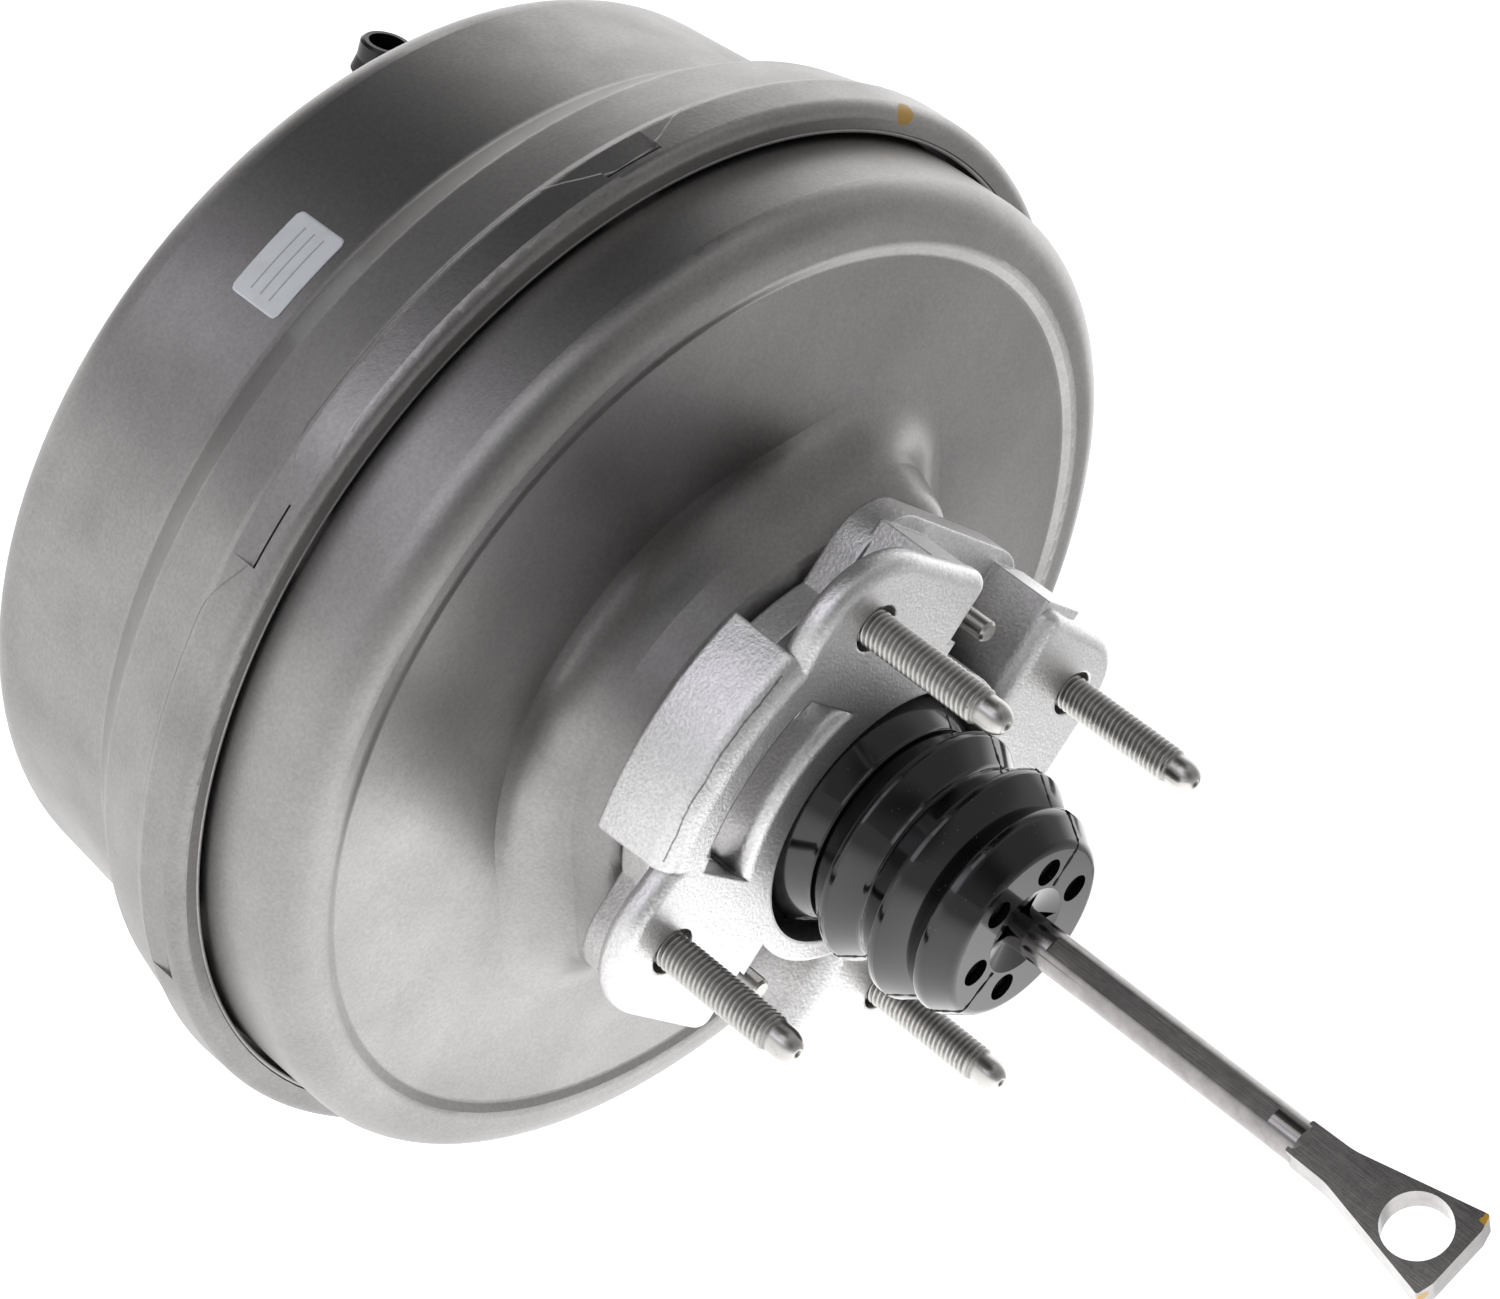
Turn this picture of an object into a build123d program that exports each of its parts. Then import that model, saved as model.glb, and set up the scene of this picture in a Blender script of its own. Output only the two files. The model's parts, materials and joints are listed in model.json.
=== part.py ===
"""Tandem vacuum brake booster with a cast firewall bracket.

The booster's axis is Y. The push rod and its eye point to -Y, into the cabin, and the front shell,
which carries the master cylinder, points to +Y. X and Z run along the rows of the firewall studs.
The origin is the centre of the bracket's mounting face. All lengths are millimetres.
"""
import os
from math import cos, radians, sin

from build123d import *

# ---- driving dimensions ------------------------------------------------------------------------

# fits and clearances
running_clearance = 0.05      # radial, between a sliding shaft and its guide
seat_clearance = 0.1          # radial, between pieces pushed together
loose_clearance = 0.5         # radial or axial, between pieces that pass each other

# firewall bracket
stud_spacing_x = 86.0
stud_spacing_z = 74.0
stud_radius = 4.0
stud_length = 34.5            # from the mounting face to the tip
stud_shoulder_radius = 4.4    # of the part pressed into the lug
stud_recess_radius = 5.25     # round the stud, open to the mounting face
stud_recess_depth = 3.5
stud_head_radius = 7.5
stud_head_thickness = 3.0
dog_radius = 3.1              # smooth lead at the tip of each stud
dog_length = 6.0
lug_thickness = 6.5
lug_overhang = 20.0           # from a left stud's centre to the outer edge of its lug
right_lug_overhang = 12.5
lug_overhang_z = 15.0
lug_corner_radius = 20.0
right_lug_corner_radius = 13.0
bracket_depth = 26.0          # from the mounting face to the seat on the rear shell
foot_thickness = 7.6
foot_half_width = 31.0
foot_half_height = 56.0
opening_radius = 30.0
ring_wall = 11.5
valley_left = -13.0
valley_right = 18.0
valley_floor_radius = 34.5    # of the ring wall where it faces a valley
valley_rounding = 4.0
side_wall_radius = 64.8
side_wall_draft = 0.9         # by which the wall's outer face leans out towards its foot
side_wall_depth = 18.2
side_wall_thickness = 11.0
side_wall_rounding = 5.0
side_wall_lower_angle = 20.1  # of the wall's ends below and above -X
side_wall_upper_angle = 23.7
window_half_height = 19.4
window_inner_radius = 40.0
window_rounding = 3.0
lug_rounding = 3.0
lug_back_rounding = 2.4
leg_width_left = 17.0
leg_width_right = 14.0

# pins that hold the bracket to the rear shell
pin_offset_z = 43.0
pin_radius = 2.4
pin_tip_y = 1.5
pin_head_radius = 5.0
pin_head_thickness = 2.5

# shells; their radii step in from the band, each by its own width
shell_wall = 1.8
band_radius = 123.4
band_y = 79.5
lip_y = 69.0
lip_width = 5.4               # from the band in to the lip's inner edge
skirt_taper = 4.1             # by which the skirt narrows from the band to the flare
skirt_start_y = 95.8
flare_width = 7.0
flare_start_y = 105.8
drum_taper = 2.9
front_face_y = 148.8
front_corner_radius = 9.4
plateau_radius = 49.0
plateau_height = 3.0
flange_clearance = 1.4        # radial, between the rear shell's flange and the skirt
flange_width = 4.3
flange_y = 80.2
bulge_width = 13.9            # from the rear shell's wall in to the crease round its disc
bulge_y = 45.7
bulge_rounding = 7.7
crease_y = 46.9
disc_rise = 2.2
hub_radius = 46.0
hub_foot_radius = 54.0
hub_rounding = 6.0
hub_foot_rounding = 14.0
lobe_radius = 14.0            # round each pin, at the ends of the oblong hub
collar_radius = 24.5
collar_end_y = 5.0
hub_plate_thickness = 2.5
hub_plate_margin = 6.0        # between the plate and the hub's corner
lance_count_per_side = 3
lance_pitch_angle = 47.0
lance_middle_angle = 181.6
lance_angle = 6.4
lance_y = 74.0
lance_slit = 1.0
lance_length = 5.5
lance_dent = 0.7
lance_depth = 2.0

# diaphragms and divider, clamped between the rear shell's flange and the front shell's flare
bead_height = 6.0
bead_width = 5.5
bead_clearance = 2.0
wall_clearance = 0.7          # radial, between a diaphragm and the shell round it
divider_wall = 1.5
divider_floor_y = 96.0
divider_floor_inset = 3.0     # from the secondary plate's edge in to the divider's floor
divider_slope_width = 9.0
neck_seal_height = 7.0
seal_retainer_thickness = 1.5
seal_thickness = 3.4          # between the piston's tube and the divider
seal_height = 4.0
diaphragm_wall = 1.6
fold_height = 12.0            # of the diaphragms' fold over the back of their plates
support_wall = 1.2
primary_fold_width = 19.9     # from the rear shell's wall in to the plate's edge
primary_plate_y = 52.0
secondary_fold_width = 15.4   # from the drum in to the plate's edge
secondary_plate_y = 102.0
plate_rim = 6.0

# power piston
stroke = 30.0
neck_radius = 20.5
neck_wall = 3.0
neck_end_y = -33.0
piston_tube_radius = 26.0
piston_tube_wall = 1.7
piston_core_radius = 16.6
piston_shoulder_radius = 33.0
piston_shoulder_y = 38.0
piston_front_y = 112.0
spring_pocket_y = 86.0
filter_bore_depth_y = 8.0
poppet_bore_radius = 14.5
valve_seat_y = 34.0
valve_seat_radius = 11.0
plunger_guide_y = 53.0
plunger_stem_radius = 6.0
reaction_bore_y = 94.0
reaction_radius = 13.0
reaction_thickness = 7.0
output_head_thickness = 6.0
output_rod_radius = 6.0
output_tip_y = 156.0
key_thickness = 3.0
key_width = 12.0
filter_bore = 9.2
felt_thickness = 4.0
filter_insertion = 14.0       # of the foam into the neck

# control valve and push rod
plunger_travel = 1.5
plunger_head_radius = 9.0
key_groove_radius = 4.0
poppet_bore = 7.6
poppet_lip = 3.0              # thickness of the poppet's sealing lip
retainer_bore = 8.3
retainer_thickness = 2.6
rod_seat_y = -12.5
rod_seat_radius = 12.5
rod_seat_thickness = 1.5
ball_radius = 5.6
ball_y = 44.0
rod_radius = 4.4
rod_waist_radius = 3.6
rod_flat_half_width = 3.9
eye_y = -139.5
eye_hole_radius = 7.0
eye_end_y = -149.1
eye_half_width = 10.3
eye_thickness = 6.5
eye_neck_y = -113.0
eye_waist_length = 8.0
eye_corner = 3.5
eye_angle = 61.4              # of the eye plate about the booster's axis, from +X towards +Z
swing_angle = 3.0

# boot
boot_wall = 1.4
boot_ridge_radius = 27.2
boot_valley_radius = 22.6
boot_pitch = 13.5
boot_first_ridge_y = 2.8
boot_ridges = 3
boot_root_y = 20.0
cap_radius = 23.8
cap_shoulder_y = -34.5
cap_end_y = -40.2
cap_end_radius = 20.0
cap_opening_radius = 10.0
vent_radius = 3.1
vent_circle_radius = 13.9
vent_count = 6
vent_first_angle = 52.0
lip_slits = 4
lip_slit_width = 0.8

# springs: wire radius and turns
return_wire_radius = 1.9
return_turns = 5
poppet_wire_radius = 0.6
poppet_turns = 4
rod_spring_wire_radius = 0.9
rod_spring_turns = 5
check_wire_radius = 0.4
check_turns = 4

# master cylinder side
cylinder_stud_spacing = 80.0
cylinder_stud_radius = 4.0
cylinder_stud_shoulder_radius = 4.5
cylinder_stud_length = 24.0
cylinder_stud_head_radius = 7.0
cylinder_stud_head_thickness = 2.5
pilot_radius = 19.5
front_plate_thickness = 3.0

# vacuum check valve
valve_x = -40.0
valve_z = 54.0
nozzle_direction = 115.0      # angle of the nozzle about the booster's axis, from +X towards +Z
nozzle_standoff = 18.2        # from the front face to the nozzle's axis
nozzle_length = 24.0
nozzle_radius = 5.6
nozzle_bore_radius = 4.0
barb_radius = 6.3
barb_length = 3.0
barb_setback = 4.0            # from the barb's front to the nozzle's tip
nozzle_tip_chamfer = 0.6
valve_stem_radius = 7.0
valve_can_radius = 12.0
grommet_radius = 13.0
grommet_flange = 3.5
can_wall = 2.0
check_disc_radius = 6.5
check_disc_thickness = 1.5
check_lift = 1.5

# radii that follow from the band
lip_inner_radius = band_radius - lip_width
skirt_start_radius = band_radius - skirt_taper
flare_start_radius = skirt_start_radius - flare_width
front_radius = flare_start_radius - drum_taper
flange_radius = band_radius - shell_wall - flange_clearance
rear_wall_radius = flange_radius - flange_width
crease_radius = rear_wall_radius - bulge_width
primary_plate_radius = rear_wall_radius - primary_fold_width
secondary_plate_radius = front_radius - secondary_fold_width
divider_floor_radius = secondary_plate_radius - divider_floor_inset

os.makedirs("parts", exist_ok=True)


def cross_section(y):
    """Plane across the axis at y: its x is X, its y is Z and its normal points to -Y."""
    return Plane.XZ.offset(-y)


def plate_points(hub_y, plate_y, plate_radius):
    """Front line of a working diaphragm, from the piston's tube to the edge of its support plate."""
    points = [(piston_tube_radius + seat_clearance, hub_y)]
    if plate_y > hub_y:
        points += [(hub_radius - 4.0, hub_y), (hub_foot_radius - 1.0, plate_y)]
    return points + [(plate_radius, plate_y), (plate_radius, plate_y + plate_rim)]


def coil(radius, wire_radius, turns, start_y, end_y, centre_x=0.0, centre_z=0.0):
    """Helical spring along Y between two seats."""
    length = abs(end_y - start_y) - 2 * wire_radius
    with BuildPart() as spring:
        with BuildLine() as path:
            first_y = min(start_y, end_y) + wire_radius
            Helix(length / turns, length, radius, (centre_x, first_y, centre_z), (0, 1, 0))
        with BuildSketch(Plane(origin=path.line @ 0, z_dir=path.line % 0)):
            Circle(wire_radius)
        sweep(path=path.line, is_frenet=True)
    return spring


# ---- rear shell --------------------------------------------------------------------------------

disc_y = crease_y - disc_rise
collar_bore = collar_radius - shell_wall
lobe_centres = ((0, pin_offset_z), (0, -pin_offset_z))


def rear_form(inset):
    """Solid bounded by the rear shell's outside, or by its inside when inset is the wall."""
    with BuildPart() as form:
        with BuildSketch(Plane.XY):
            with BuildLine():
                line = FilletPolyline(
                    (hub_radius / 2, disc_y + inset),
                    (hub_foot_radius, disc_y + inset),
                    (crease_radius, crease_y + inset),
                    (crease_radius + 3.0, bulge_y + inset),
                    (rear_wall_radius - inset, bulge_y + inset),
                    (rear_wall_radius - inset, flange_y + shell_wall),
                    radius=[20.0, 2.0 + inset, 4.0 - inset, bulge_rounding - inset],
                )
                Polyline(line @ 1, (0, flange_y + shell_wall), (0, disc_y + inset), line @ 0)
            make_face()
        revolve(axis=Axis.Y)
        # oblong hub that reaches out to both pins and flares into the disc
        for flare, y in ((0.0, bracket_depth), (hub_foot_radius - hub_radius, disc_y + 1.0)):
            with BuildSketch(cross_section(y + inset)):
                Circle(hub_radius + flare - inset)
                with Locations(*lobe_centres):
                    Circle(lobe_radius + flare - inset)
                make_hull()
        loft()
        foot_edges = [
            edge for edge in form.edges()
            if abs(edge.center().Y - disc_y - inset) < 2.0 and edge.length > 5.0
            and Vector(edge.center().X, 0, edge.center().Z).length < hub_foot_radius + 8.0
        ]
        fillet(foot_edges, radius=hub_foot_rounding + inset)
        top_y = bracket_depth + inset
        top_edges = form.edges().filter_by_position(Axis.Y, top_y - 0.1, top_y + 0.1)
        fillet(top_edges, radius=hub_rounding - inset)
    return form


rear_outside = rear_form(0.0)
rear_inside = rear_form(shell_wall)

with BuildPart() as rear_shell:
    add(rear_outside.part)
    # collar that guides the piston's neck, and the flange clamped inside the front shell
    with BuildSketch(cross_section(bracket_depth + shell_wall)):
        Circle(collar_radius)
    extrude(amount=bracket_depth + shell_wall - collar_end_y)
    with BuildSketch(cross_section(flange_y + shell_wall)):
        Circle(flange_radius)
    extrude(amount=shell_wall)
    add(rear_inside.part, mode=Mode.SUBTRACT)
    with BuildSketch(cross_section(bracket_depth + 2 * shell_wall)):
        Circle(collar_bore)
    extrude(amount=bracket_depth + 2 * shell_wall - collar_end_y, mode=Mode.SUBTRACT)
    # pin holes
    with BuildSketch(cross_section(bracket_depth + 2 * shell_wall)):
        with Locations(*lobe_centres):
            Circle(pin_radius + seat_clearance)
    extrude(amount=3 * shell_wall, mode=Mode.SUBTRACT)
rear_shell.part.label = "rear_shell"
export_step(rear_shell.part, "parts/rear_shell.step")

# ---- front shell -------------------------------------------------------------------------------

plateau_y = front_face_y + plateau_height
band_inner_radius = band_radius - shell_wall
lance_front_y = lance_y + lance_length

with BuildPart() as front_shell:
    with BuildSketch(Plane.XY):
        with BuildLine():
            FilletPolyline(
                (pilot_radius, plateau_y),
                (plateau_radius, plateau_y),
                (plateau_radius + plateau_height, front_face_y),
                (front_radius, front_face_y),
                (flare_start_radius, flare_start_y),
                (skirt_start_radius, skirt_start_y),
                (band_radius - 1.0, band_y + 2.0),
                (band_radius, band_y),
                (band_radius, lip_y),
                (lip_inner_radius, lip_y),
                radius=[2.5, 2.0, front_corner_radius, 4.0, 3.0, 2.0, 2.0, 3.0],
            )
            offset(amount=shell_wall, side=Side.RIGHT, closed=True)
        make_face()
    revolve(axis=Axis.Y)
    # lances: the skirt is slit along one edge of each and pressed in behind the rear shell's flange
    for side_angle in (0.0, 180.0):
        for step in range(lance_count_per_side):
            angle = lance_middle_angle + (step - (lance_count_per_side - 1) / 2) * lance_pitch_angle
            lance_plane = Plane.XY.rotated((0, -(angle + side_angle + lance_angle / 2), 0))
            with BuildSketch(lance_plane):
                with BuildLine():
                    Polyline(
                        (band_inner_radius + 0.5, lance_front_y),
                        (band_inner_radius + 0.5, lance_y),
                        (band_inner_radius - lance_depth, lance_y),
                        (band_inner_radius, lance_front_y),
                        close=True,
                    )
                make_face()
            revolve(axis=Axis.Y, revolution_arc=lance_angle)
            with BuildSketch(lance_plane):
                with BuildLine():
                    Polyline(
                        (band_inner_radius - lance_depth - 1.0, lance_y),
                        (band_radius - lance_dent, lance_y),
                        (band_radius, lance_front_y),
                        (band_radius + 1.0, lance_front_y),
                        (band_radius + 1.0, lance_y - lance_slit),
                        (band_inner_radius - lance_depth - 1.0, lance_y - lance_slit),
                        close=True,
                    )
                make_face()
            revolve(axis=Axis.Y, revolution_arc=lance_angle, mode=Mode.SUBTRACT)
    # holes for the master cylinder's studs and the check valve's grommet
    with BuildSketch(cross_section(plateau_y + 1.0)):
        with GridLocations(cylinder_stud_spacing, 0, 2, 1):
            Circle(cylinder_stud_shoulder_radius + seat_clearance)
        with Locations((valve_x, valve_z)):
            Circle(grommet_radius - grommet_flange)
    extrude(amount=plateau_height + 2 * shell_wall, mode=Mode.SUBTRACT)
front_shell.part.label = "front_shell"
export_step(front_shell.part, "parts/front_shell.step")

# ---- reinforcement plates ----------------------------------------------------------------------

hub_plate_y = bracket_depth + shell_wall
with BuildPart() as hub_plate:
    with BuildSketch(cross_section(hub_plate_y + hub_plate_thickness)):
        Circle(hub_radius - hub_plate_margin)
        with Locations(*lobe_centres):
            Circle(lobe_radius - hub_plate_margin + 1.0)
        make_hull()
        Circle(collar_radius + 3.0, mode=Mode.SUBTRACT)
        with Locations(*lobe_centres):
            Circle(pin_radius + seat_clearance, mode=Mode.SUBTRACT)
    extrude(amount=hub_plate_thickness)
hub_plate.part.label = "hub_plate"
export_step(hub_plate.part, "parts/hub_plate.step")

front_plate_y = plateau_y - shell_wall - front_plate_thickness
with BuildPart() as front_plate:
    with BuildSketch(cross_section(front_plate_y + front_plate_thickness)):
        Circle(plateau_radius - 3.5)
        Circle(pilot_radius, mode=Mode.SUBTRACT)
        with GridLocations(cylinder_stud_spacing, 0, 2, 1):
            Circle(cylinder_stud_shoulder_radius + seat_clearance, mode=Mode.SUBTRACT)
    extrude(amount=front_plate_thickness)
front_plate.part.label = "front_plate"
export_step(front_plate.part, "parts/front_plate.step")

# ---- mounting bracket --------------------------------------------------------------------------

lug_edge_x = stud_spacing_x / 2 + lug_overhang
lug_edge_z = stud_spacing_z / 2 + lug_overhang_z
right_edge_x = stud_spacing_x / 2 + right_lug_overhang
lug_waist_z = 21.0
lug_root_z = 15.0
side_wall_inner_radius = side_wall_radius - side_wall_thickness
leg_height = foot_half_height - opening_radius - 6.0
leg_offset_z = (foot_half_height + opening_radius) / 2
ring_radius = opening_radius + ring_wall
foot_y = bracket_depth - foot_thickness
stud_places = [(x, z) for x in (stud_spacing_x / 2, -stud_spacing_x / 2)
               for z in (stud_spacing_z / 2, -stud_spacing_z / 2)]
window_outer_radius = side_wall_inner_radius - 1.0


def is_outer_edge(edge):
    """Whether an edge of the lugs lies on the bracket's outline, not on a valley or near the axis."""
    centre = edge.center()
    beside_valley = min(abs(centre.X - valley_left), abs(centre.X - valley_right)) < 0.01
    at_root = abs(abs(centre.Z) - lug_root_z) < 0.01
    return not (beside_valley or at_root)


# curved opening between the ring wall and the side wall, with a rounded lip on the ring's side
with BuildPart() as bracket_window:
    with BuildSketch(Plane.XY.rotated((0, 135, 0))):
        with BuildLine():
            Polyline(
                (window_inner_radius - window_rounding, 0),
                (window_inner_radius - window_rounding, -1.0),
                (window_outer_radius, -1.0),
                (window_outer_radius, foot_y),
                (window_inner_radius, foot_y),
                (window_inner_radius, window_rounding),
            )
            CenterArc((window_inner_radius - window_rounding, window_rounding), window_rounding, 270, 90)
        make_face()
    revolve(axis=Axis.Y, revolution_arc=90)
    with Locations((-side_wall_radius, 0, 0)):
        Box(2 * side_wall_radius, 4 * foot_y, 2 * window_half_height, mode=Mode.INTERSECT)

with BuildPart() as mounting_bracket:
    # two lugs on the left and one plate on the right
    with BuildSketch(cross_section(lug_thickness)):
        for side in (1, -1):
            with BuildLine():
                FilletPolyline(
                    (valley_left, side * lug_root_z),
                    (valley_left, side * (lug_edge_z + 2.0)),
                    (-lug_edge_x, side * lug_edge_z),
                    (-lug_edge_x + 5.0, side * lug_waist_z),
                    (-window_outer_radius, side * lug_root_z),
                    close=True,
                    radius=[0, 3.5, lug_corner_radius, 3.5, 0],
                )
            make_face()
        with BuildLine():
            FilletPolyline(
                (valley_right, -lug_edge_z),
                (valley_right, lug_edge_z),
                (right_edge_x, lug_edge_z - 2.5),
                (right_edge_x, -lug_edge_z + 2.5),
                close=True,
                radius=[3.5, 3.5, right_lug_corner_radius, right_lug_corner_radius],
            )
        make_face()
    extrude(amount=lug_thickness)
    for height, rounding in ((0.0, lug_rounding), (lug_thickness, lug_back_rounding)):
        level_edges = mounting_bracket.edges().filter_by_position(Axis.Y, height - 0.01, height + 0.01)
        outer_edges = level_edges.filter_by(is_outer_edge)
        fillet(outer_edges, radius=rounding)
    # curved side wall on the left
    with BuildSketch(Plane.XY.rotated((0, 180 - side_wall_lower_angle, 0))):
        with BuildLine():
            FilletPolyline(
                (side_wall_inner_radius, 0),
                (side_wall_radius, 0),
                (side_wall_radius + side_wall_draft, side_wall_depth),
                (side_wall_inner_radius, side_wall_depth),
                close=True,
                radius=[0, side_wall_rounding, 0, 0],
            )
        make_face()
    revolve(axis=Axis.Y, revolution_arc=side_wall_lower_angle + side_wall_upper_angle)
    # ring wall, foot and the two legs that carry the lugs
    with BuildSketch(cross_section(bracket_depth)):
        Circle(ring_radius)
    extrude(amount=bracket_depth)
    with BuildSketch(cross_section(bracket_depth)):
        Circle(hub_radius)
        RectangleRounded(2 * foot_half_width, 2 * foot_half_height, 12.0)
    extrude(amount=foot_thickness)
    with BuildSketch(cross_section(foot_y + 1.0)):
        for side in (1, -1):
            with Locations((valley_left - leg_width_left / 2, side * leg_offset_z)):
                Rectangle(leg_width_left, leg_height)
            with Locations((valley_right + leg_width_right / 2, side * leg_offset_z)):
                Rectangle(leg_width_right, leg_height)
    extrude(amount=foot_y + 1.0 - lug_thickness / 2)
    # a valley above and below the opening, down to the foot, with a rounded lip on the right
    for side in (1, -1):
        with BuildSketch(Plane.XY.offset(side * opening_radius)):
            with BuildLine():
                Polyline(
                    (valley_right + valley_rounding, 0),
                    (valley_right + valley_rounding, -1.0),
                    (valley_left, -1.0),
                    (valley_left, foot_y),
                    (valley_right, foot_y),
                    (valley_right, valley_rounding),
                )
                CenterArc((valley_right + valley_rounding, valley_rounding), valley_rounding, 180, 90)
            make_face()
        extrude(amount=side * foot_half_height, mode=Mode.SUBTRACT)
    with BuildSketch(cross_section(bracket_depth)):
        Circle(valley_floor_radius)
    extrude(amount=bracket_depth)
    # boot opening
    with BuildSketch(cross_section(bracket_depth)):
        Circle(opening_radius)
    extrude(amount=bracket_depth, mode=Mode.SUBTRACT)
    # window
    add(bracket_window.part, mode=Mode.SUBTRACT)
    # stud and pin holes
    with BuildSketch(cross_section(lug_thickness)):
        with Locations(*stud_places):
            Circle(stud_shoulder_radius + running_clearance)
    extrude(amount=lug_thickness, mode=Mode.SUBTRACT)
    with BuildSketch(cross_section(stud_recess_depth)):
        with Locations(*stud_places):
            Circle(stud_recess_radius)
    extrude(amount=stud_recess_depth, mode=Mode.SUBTRACT)
    with BuildSketch(cross_section(bracket_depth)):
        with Locations(*lobe_centres):
            Circle(pin_radius + seat_clearance)
    extrude(amount=foot_thickness, mode=Mode.SUBTRACT)
mounting_bracket.part.label = "mounting_bracket"
export_step(mounting_bracket.part, "parts/mounting_bracket.step")

for number, (stud_x, stud_z) in enumerate(stud_places, start=1):
    with BuildPart() as bracket_stud:
        with BuildSketch(cross_section(lug_thickness + stud_head_thickness)):
            with Locations((stud_x, stud_z)):
                Circle(stud_head_radius)
        extrude(amount=stud_head_thickness)
        with BuildSketch(cross_section(lug_thickness)):
            with Locations((stud_x, stud_z)):
                Circle(stud_shoulder_radius)
        extrude(amount=lug_thickness - stud_recess_depth)
        with BuildSketch(cross_section(stud_recess_depth)):
            with Locations((stud_x, stud_z)):
                Circle(stud_radius)
        extrude(amount=stud_recess_depth + stud_length - dog_length)
        with BuildSketch(cross_section(dog_length - stud_length)):
            with Locations((stud_x, stud_z)):
                Circle(dog_radius)
        extrude(amount=dog_length)
        fillet(bracket_stud.faces().sort_by(Axis.Y)[0].edges(), radius=dog_radius * 0.8)
    bracket_stud.part.label = f"bracket_stud_{number}"
    export_step(bracket_stud.part, f"parts/bracket_stud_{number}.step")

pin_head_y = hub_plate_y + hub_plate_thickness
for number, (pin_x, pin_z) in enumerate(lobe_centres, start=1):
    with BuildPart() as bracket_pin:
        with BuildSketch(cross_section(pin_head_y + pin_head_thickness)):
            with Locations((pin_x, pin_z)):
                Circle(pin_head_radius)
        extrude(amount=pin_head_thickness)
        with BuildSketch(cross_section(pin_head_y)):
            with Locations((pin_x, pin_z)):
                Circle(pin_radius)
        extrude(amount=pin_head_y - pin_tip_y)
        chamfer(bracket_pin.faces().sort_by(Axis.Y)[0].edges(), length=0.6)
    bracket_pin.part.label = f"bracket_pin_{number}"
    export_step(bracket_pin.part, f"parts/bracket_pin_{number}.step")

# ---- master cylinder studs ---------------------------------------------------------------------

cylinder_stud_places = ((cylinder_stud_spacing / 2, 0), (-cylinder_stud_spacing / 2, 0))
for number, (stud_x, stud_z) in enumerate(cylinder_stud_places, start=1):
    with BuildPart() as cylinder_stud:
        with BuildSketch(cross_section(front_plate_y)):
            with Locations((stud_x, stud_z)):
                Circle(cylinder_stud_head_radius)
        extrude(amount=cylinder_stud_head_thickness)
        with BuildSketch(cross_section(plateau_y)):
            with Locations((stud_x, stud_z)):
                Circle(cylinder_stud_shoulder_radius)
        extrude(amount=plateau_y - front_plate_y)
        with BuildSketch(cross_section(plateau_y + cylinder_stud_length)):
            with Locations((stud_x, stud_z)):
                Circle(cylinder_stud_radius)
        extrude(amount=cylinder_stud_length)
        chamfer(cylinder_stud.faces().sort_by(Axis.Y)[-1].edges(), length=1.0)
    cylinder_stud.part.label = f"cylinder_stud_{number}"
    export_step(cylinder_stud.part, f"parts/cylinder_stud_{number}.step")

# ---- divider and its seal ----------------------------------------------------------------------

divider_rim_y = flange_y + shell_wall + bead_height
divider_rim_radius = flange_radius - bead_clearance
divider_bore = piston_tube_radius + seal_thickness
divider_back_y = divider_floor_y - seal_height - 2.0
with BuildPart() as divider:
    with BuildSketch(Plane.XY):
        with BuildLine():
            FilletPolyline(
                (divider_bore, divider_back_y),
                (divider_bore, divider_floor_y + divider_wall),
                (divider_floor_radius, divider_floor_y + divider_wall),
                (divider_floor_radius + divider_slope_width, divider_rim_y + divider_wall),
                (divider_rim_radius, divider_rim_y + divider_wall),
                radius=[divider_wall + 1.0, divider_wall + 3.0, 3.0],
            )
            offset(amount=divider_wall, side=Side.RIGHT, closed=True)
        make_face()
    revolve(axis=Axis.Y)
divider.part.label = "divider"
export_step(divider.part, "parts/divider.step")

with BuildPart() as divider_seal:
    with BuildSketch(cross_section(divider_back_y + seal_height + loose_clearance)):
        Circle(divider_bore - seat_clearance)
        Circle(piston_tube_radius + running_clearance, mode=Mode.SUBTRACT)
    extrude(amount=seal_height)
divider_seal.part.label = "divider_seal"
export_step(divider_seal.part, "parts/divider_seal.step")

# ---- diaphragms, support plates and their lock rings -------------------------------------------

primary_hub_y = piston_shoulder_y
primary_wall_radius = rear_wall_radius - shell_wall - diaphragm_wall - wall_clearance
primary_bead_outer = flange_radius - bead_clearance
secondary_bead_outer = skirt_start_radius - shell_wall - wall_clearance
secondary_wall_radius = front_radius - shell_wall - wall_clearance


def diaphragm(hub_y, plate_y, plate_radius, wall_radius, bead_back_y, bead_outer):
    """Rubber diaphragm: it lies on the rear of its support plate, folds once and ends in a bead."""
    points = plate_points(hub_y, plate_y, plate_radius)[:-1]
    fold_y = plate_y + fold_height
    points += [(plate_radius, fold_y), (wall_radius, fold_y), (wall_radius, bead_back_y + 1.0)]
    corner = (wall_radius - plate_radius) / 2 - 0.5
    radii = [4.0] * (len(points) - 5) + [3.0, corner, corner]
    with BuildPart() as sheet:
        with BuildSketch(Plane.XY):
            with BuildLine():
                FilletPolyline(*points, radius=radii)
                offset(amount=diaphragm_wall, side=Side.RIGHT, closed=True)
            make_face()
        revolve(axis=Axis.Y)
        with BuildSketch(Plane.XY):
            with Locations((bead_outer - bead_width / 2, bead_back_y + bead_height / 2)):
                Rectangle(bead_width, bead_height)
            with Locations(((wall_radius + bead_outer) / 2 - 1.0, bead_back_y + 1.5)):
                Rectangle(bead_outer - wall_radius + diaphragm_wall, 3.0)
        revolve(axis=Axis.Y)
    return sheet


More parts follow.
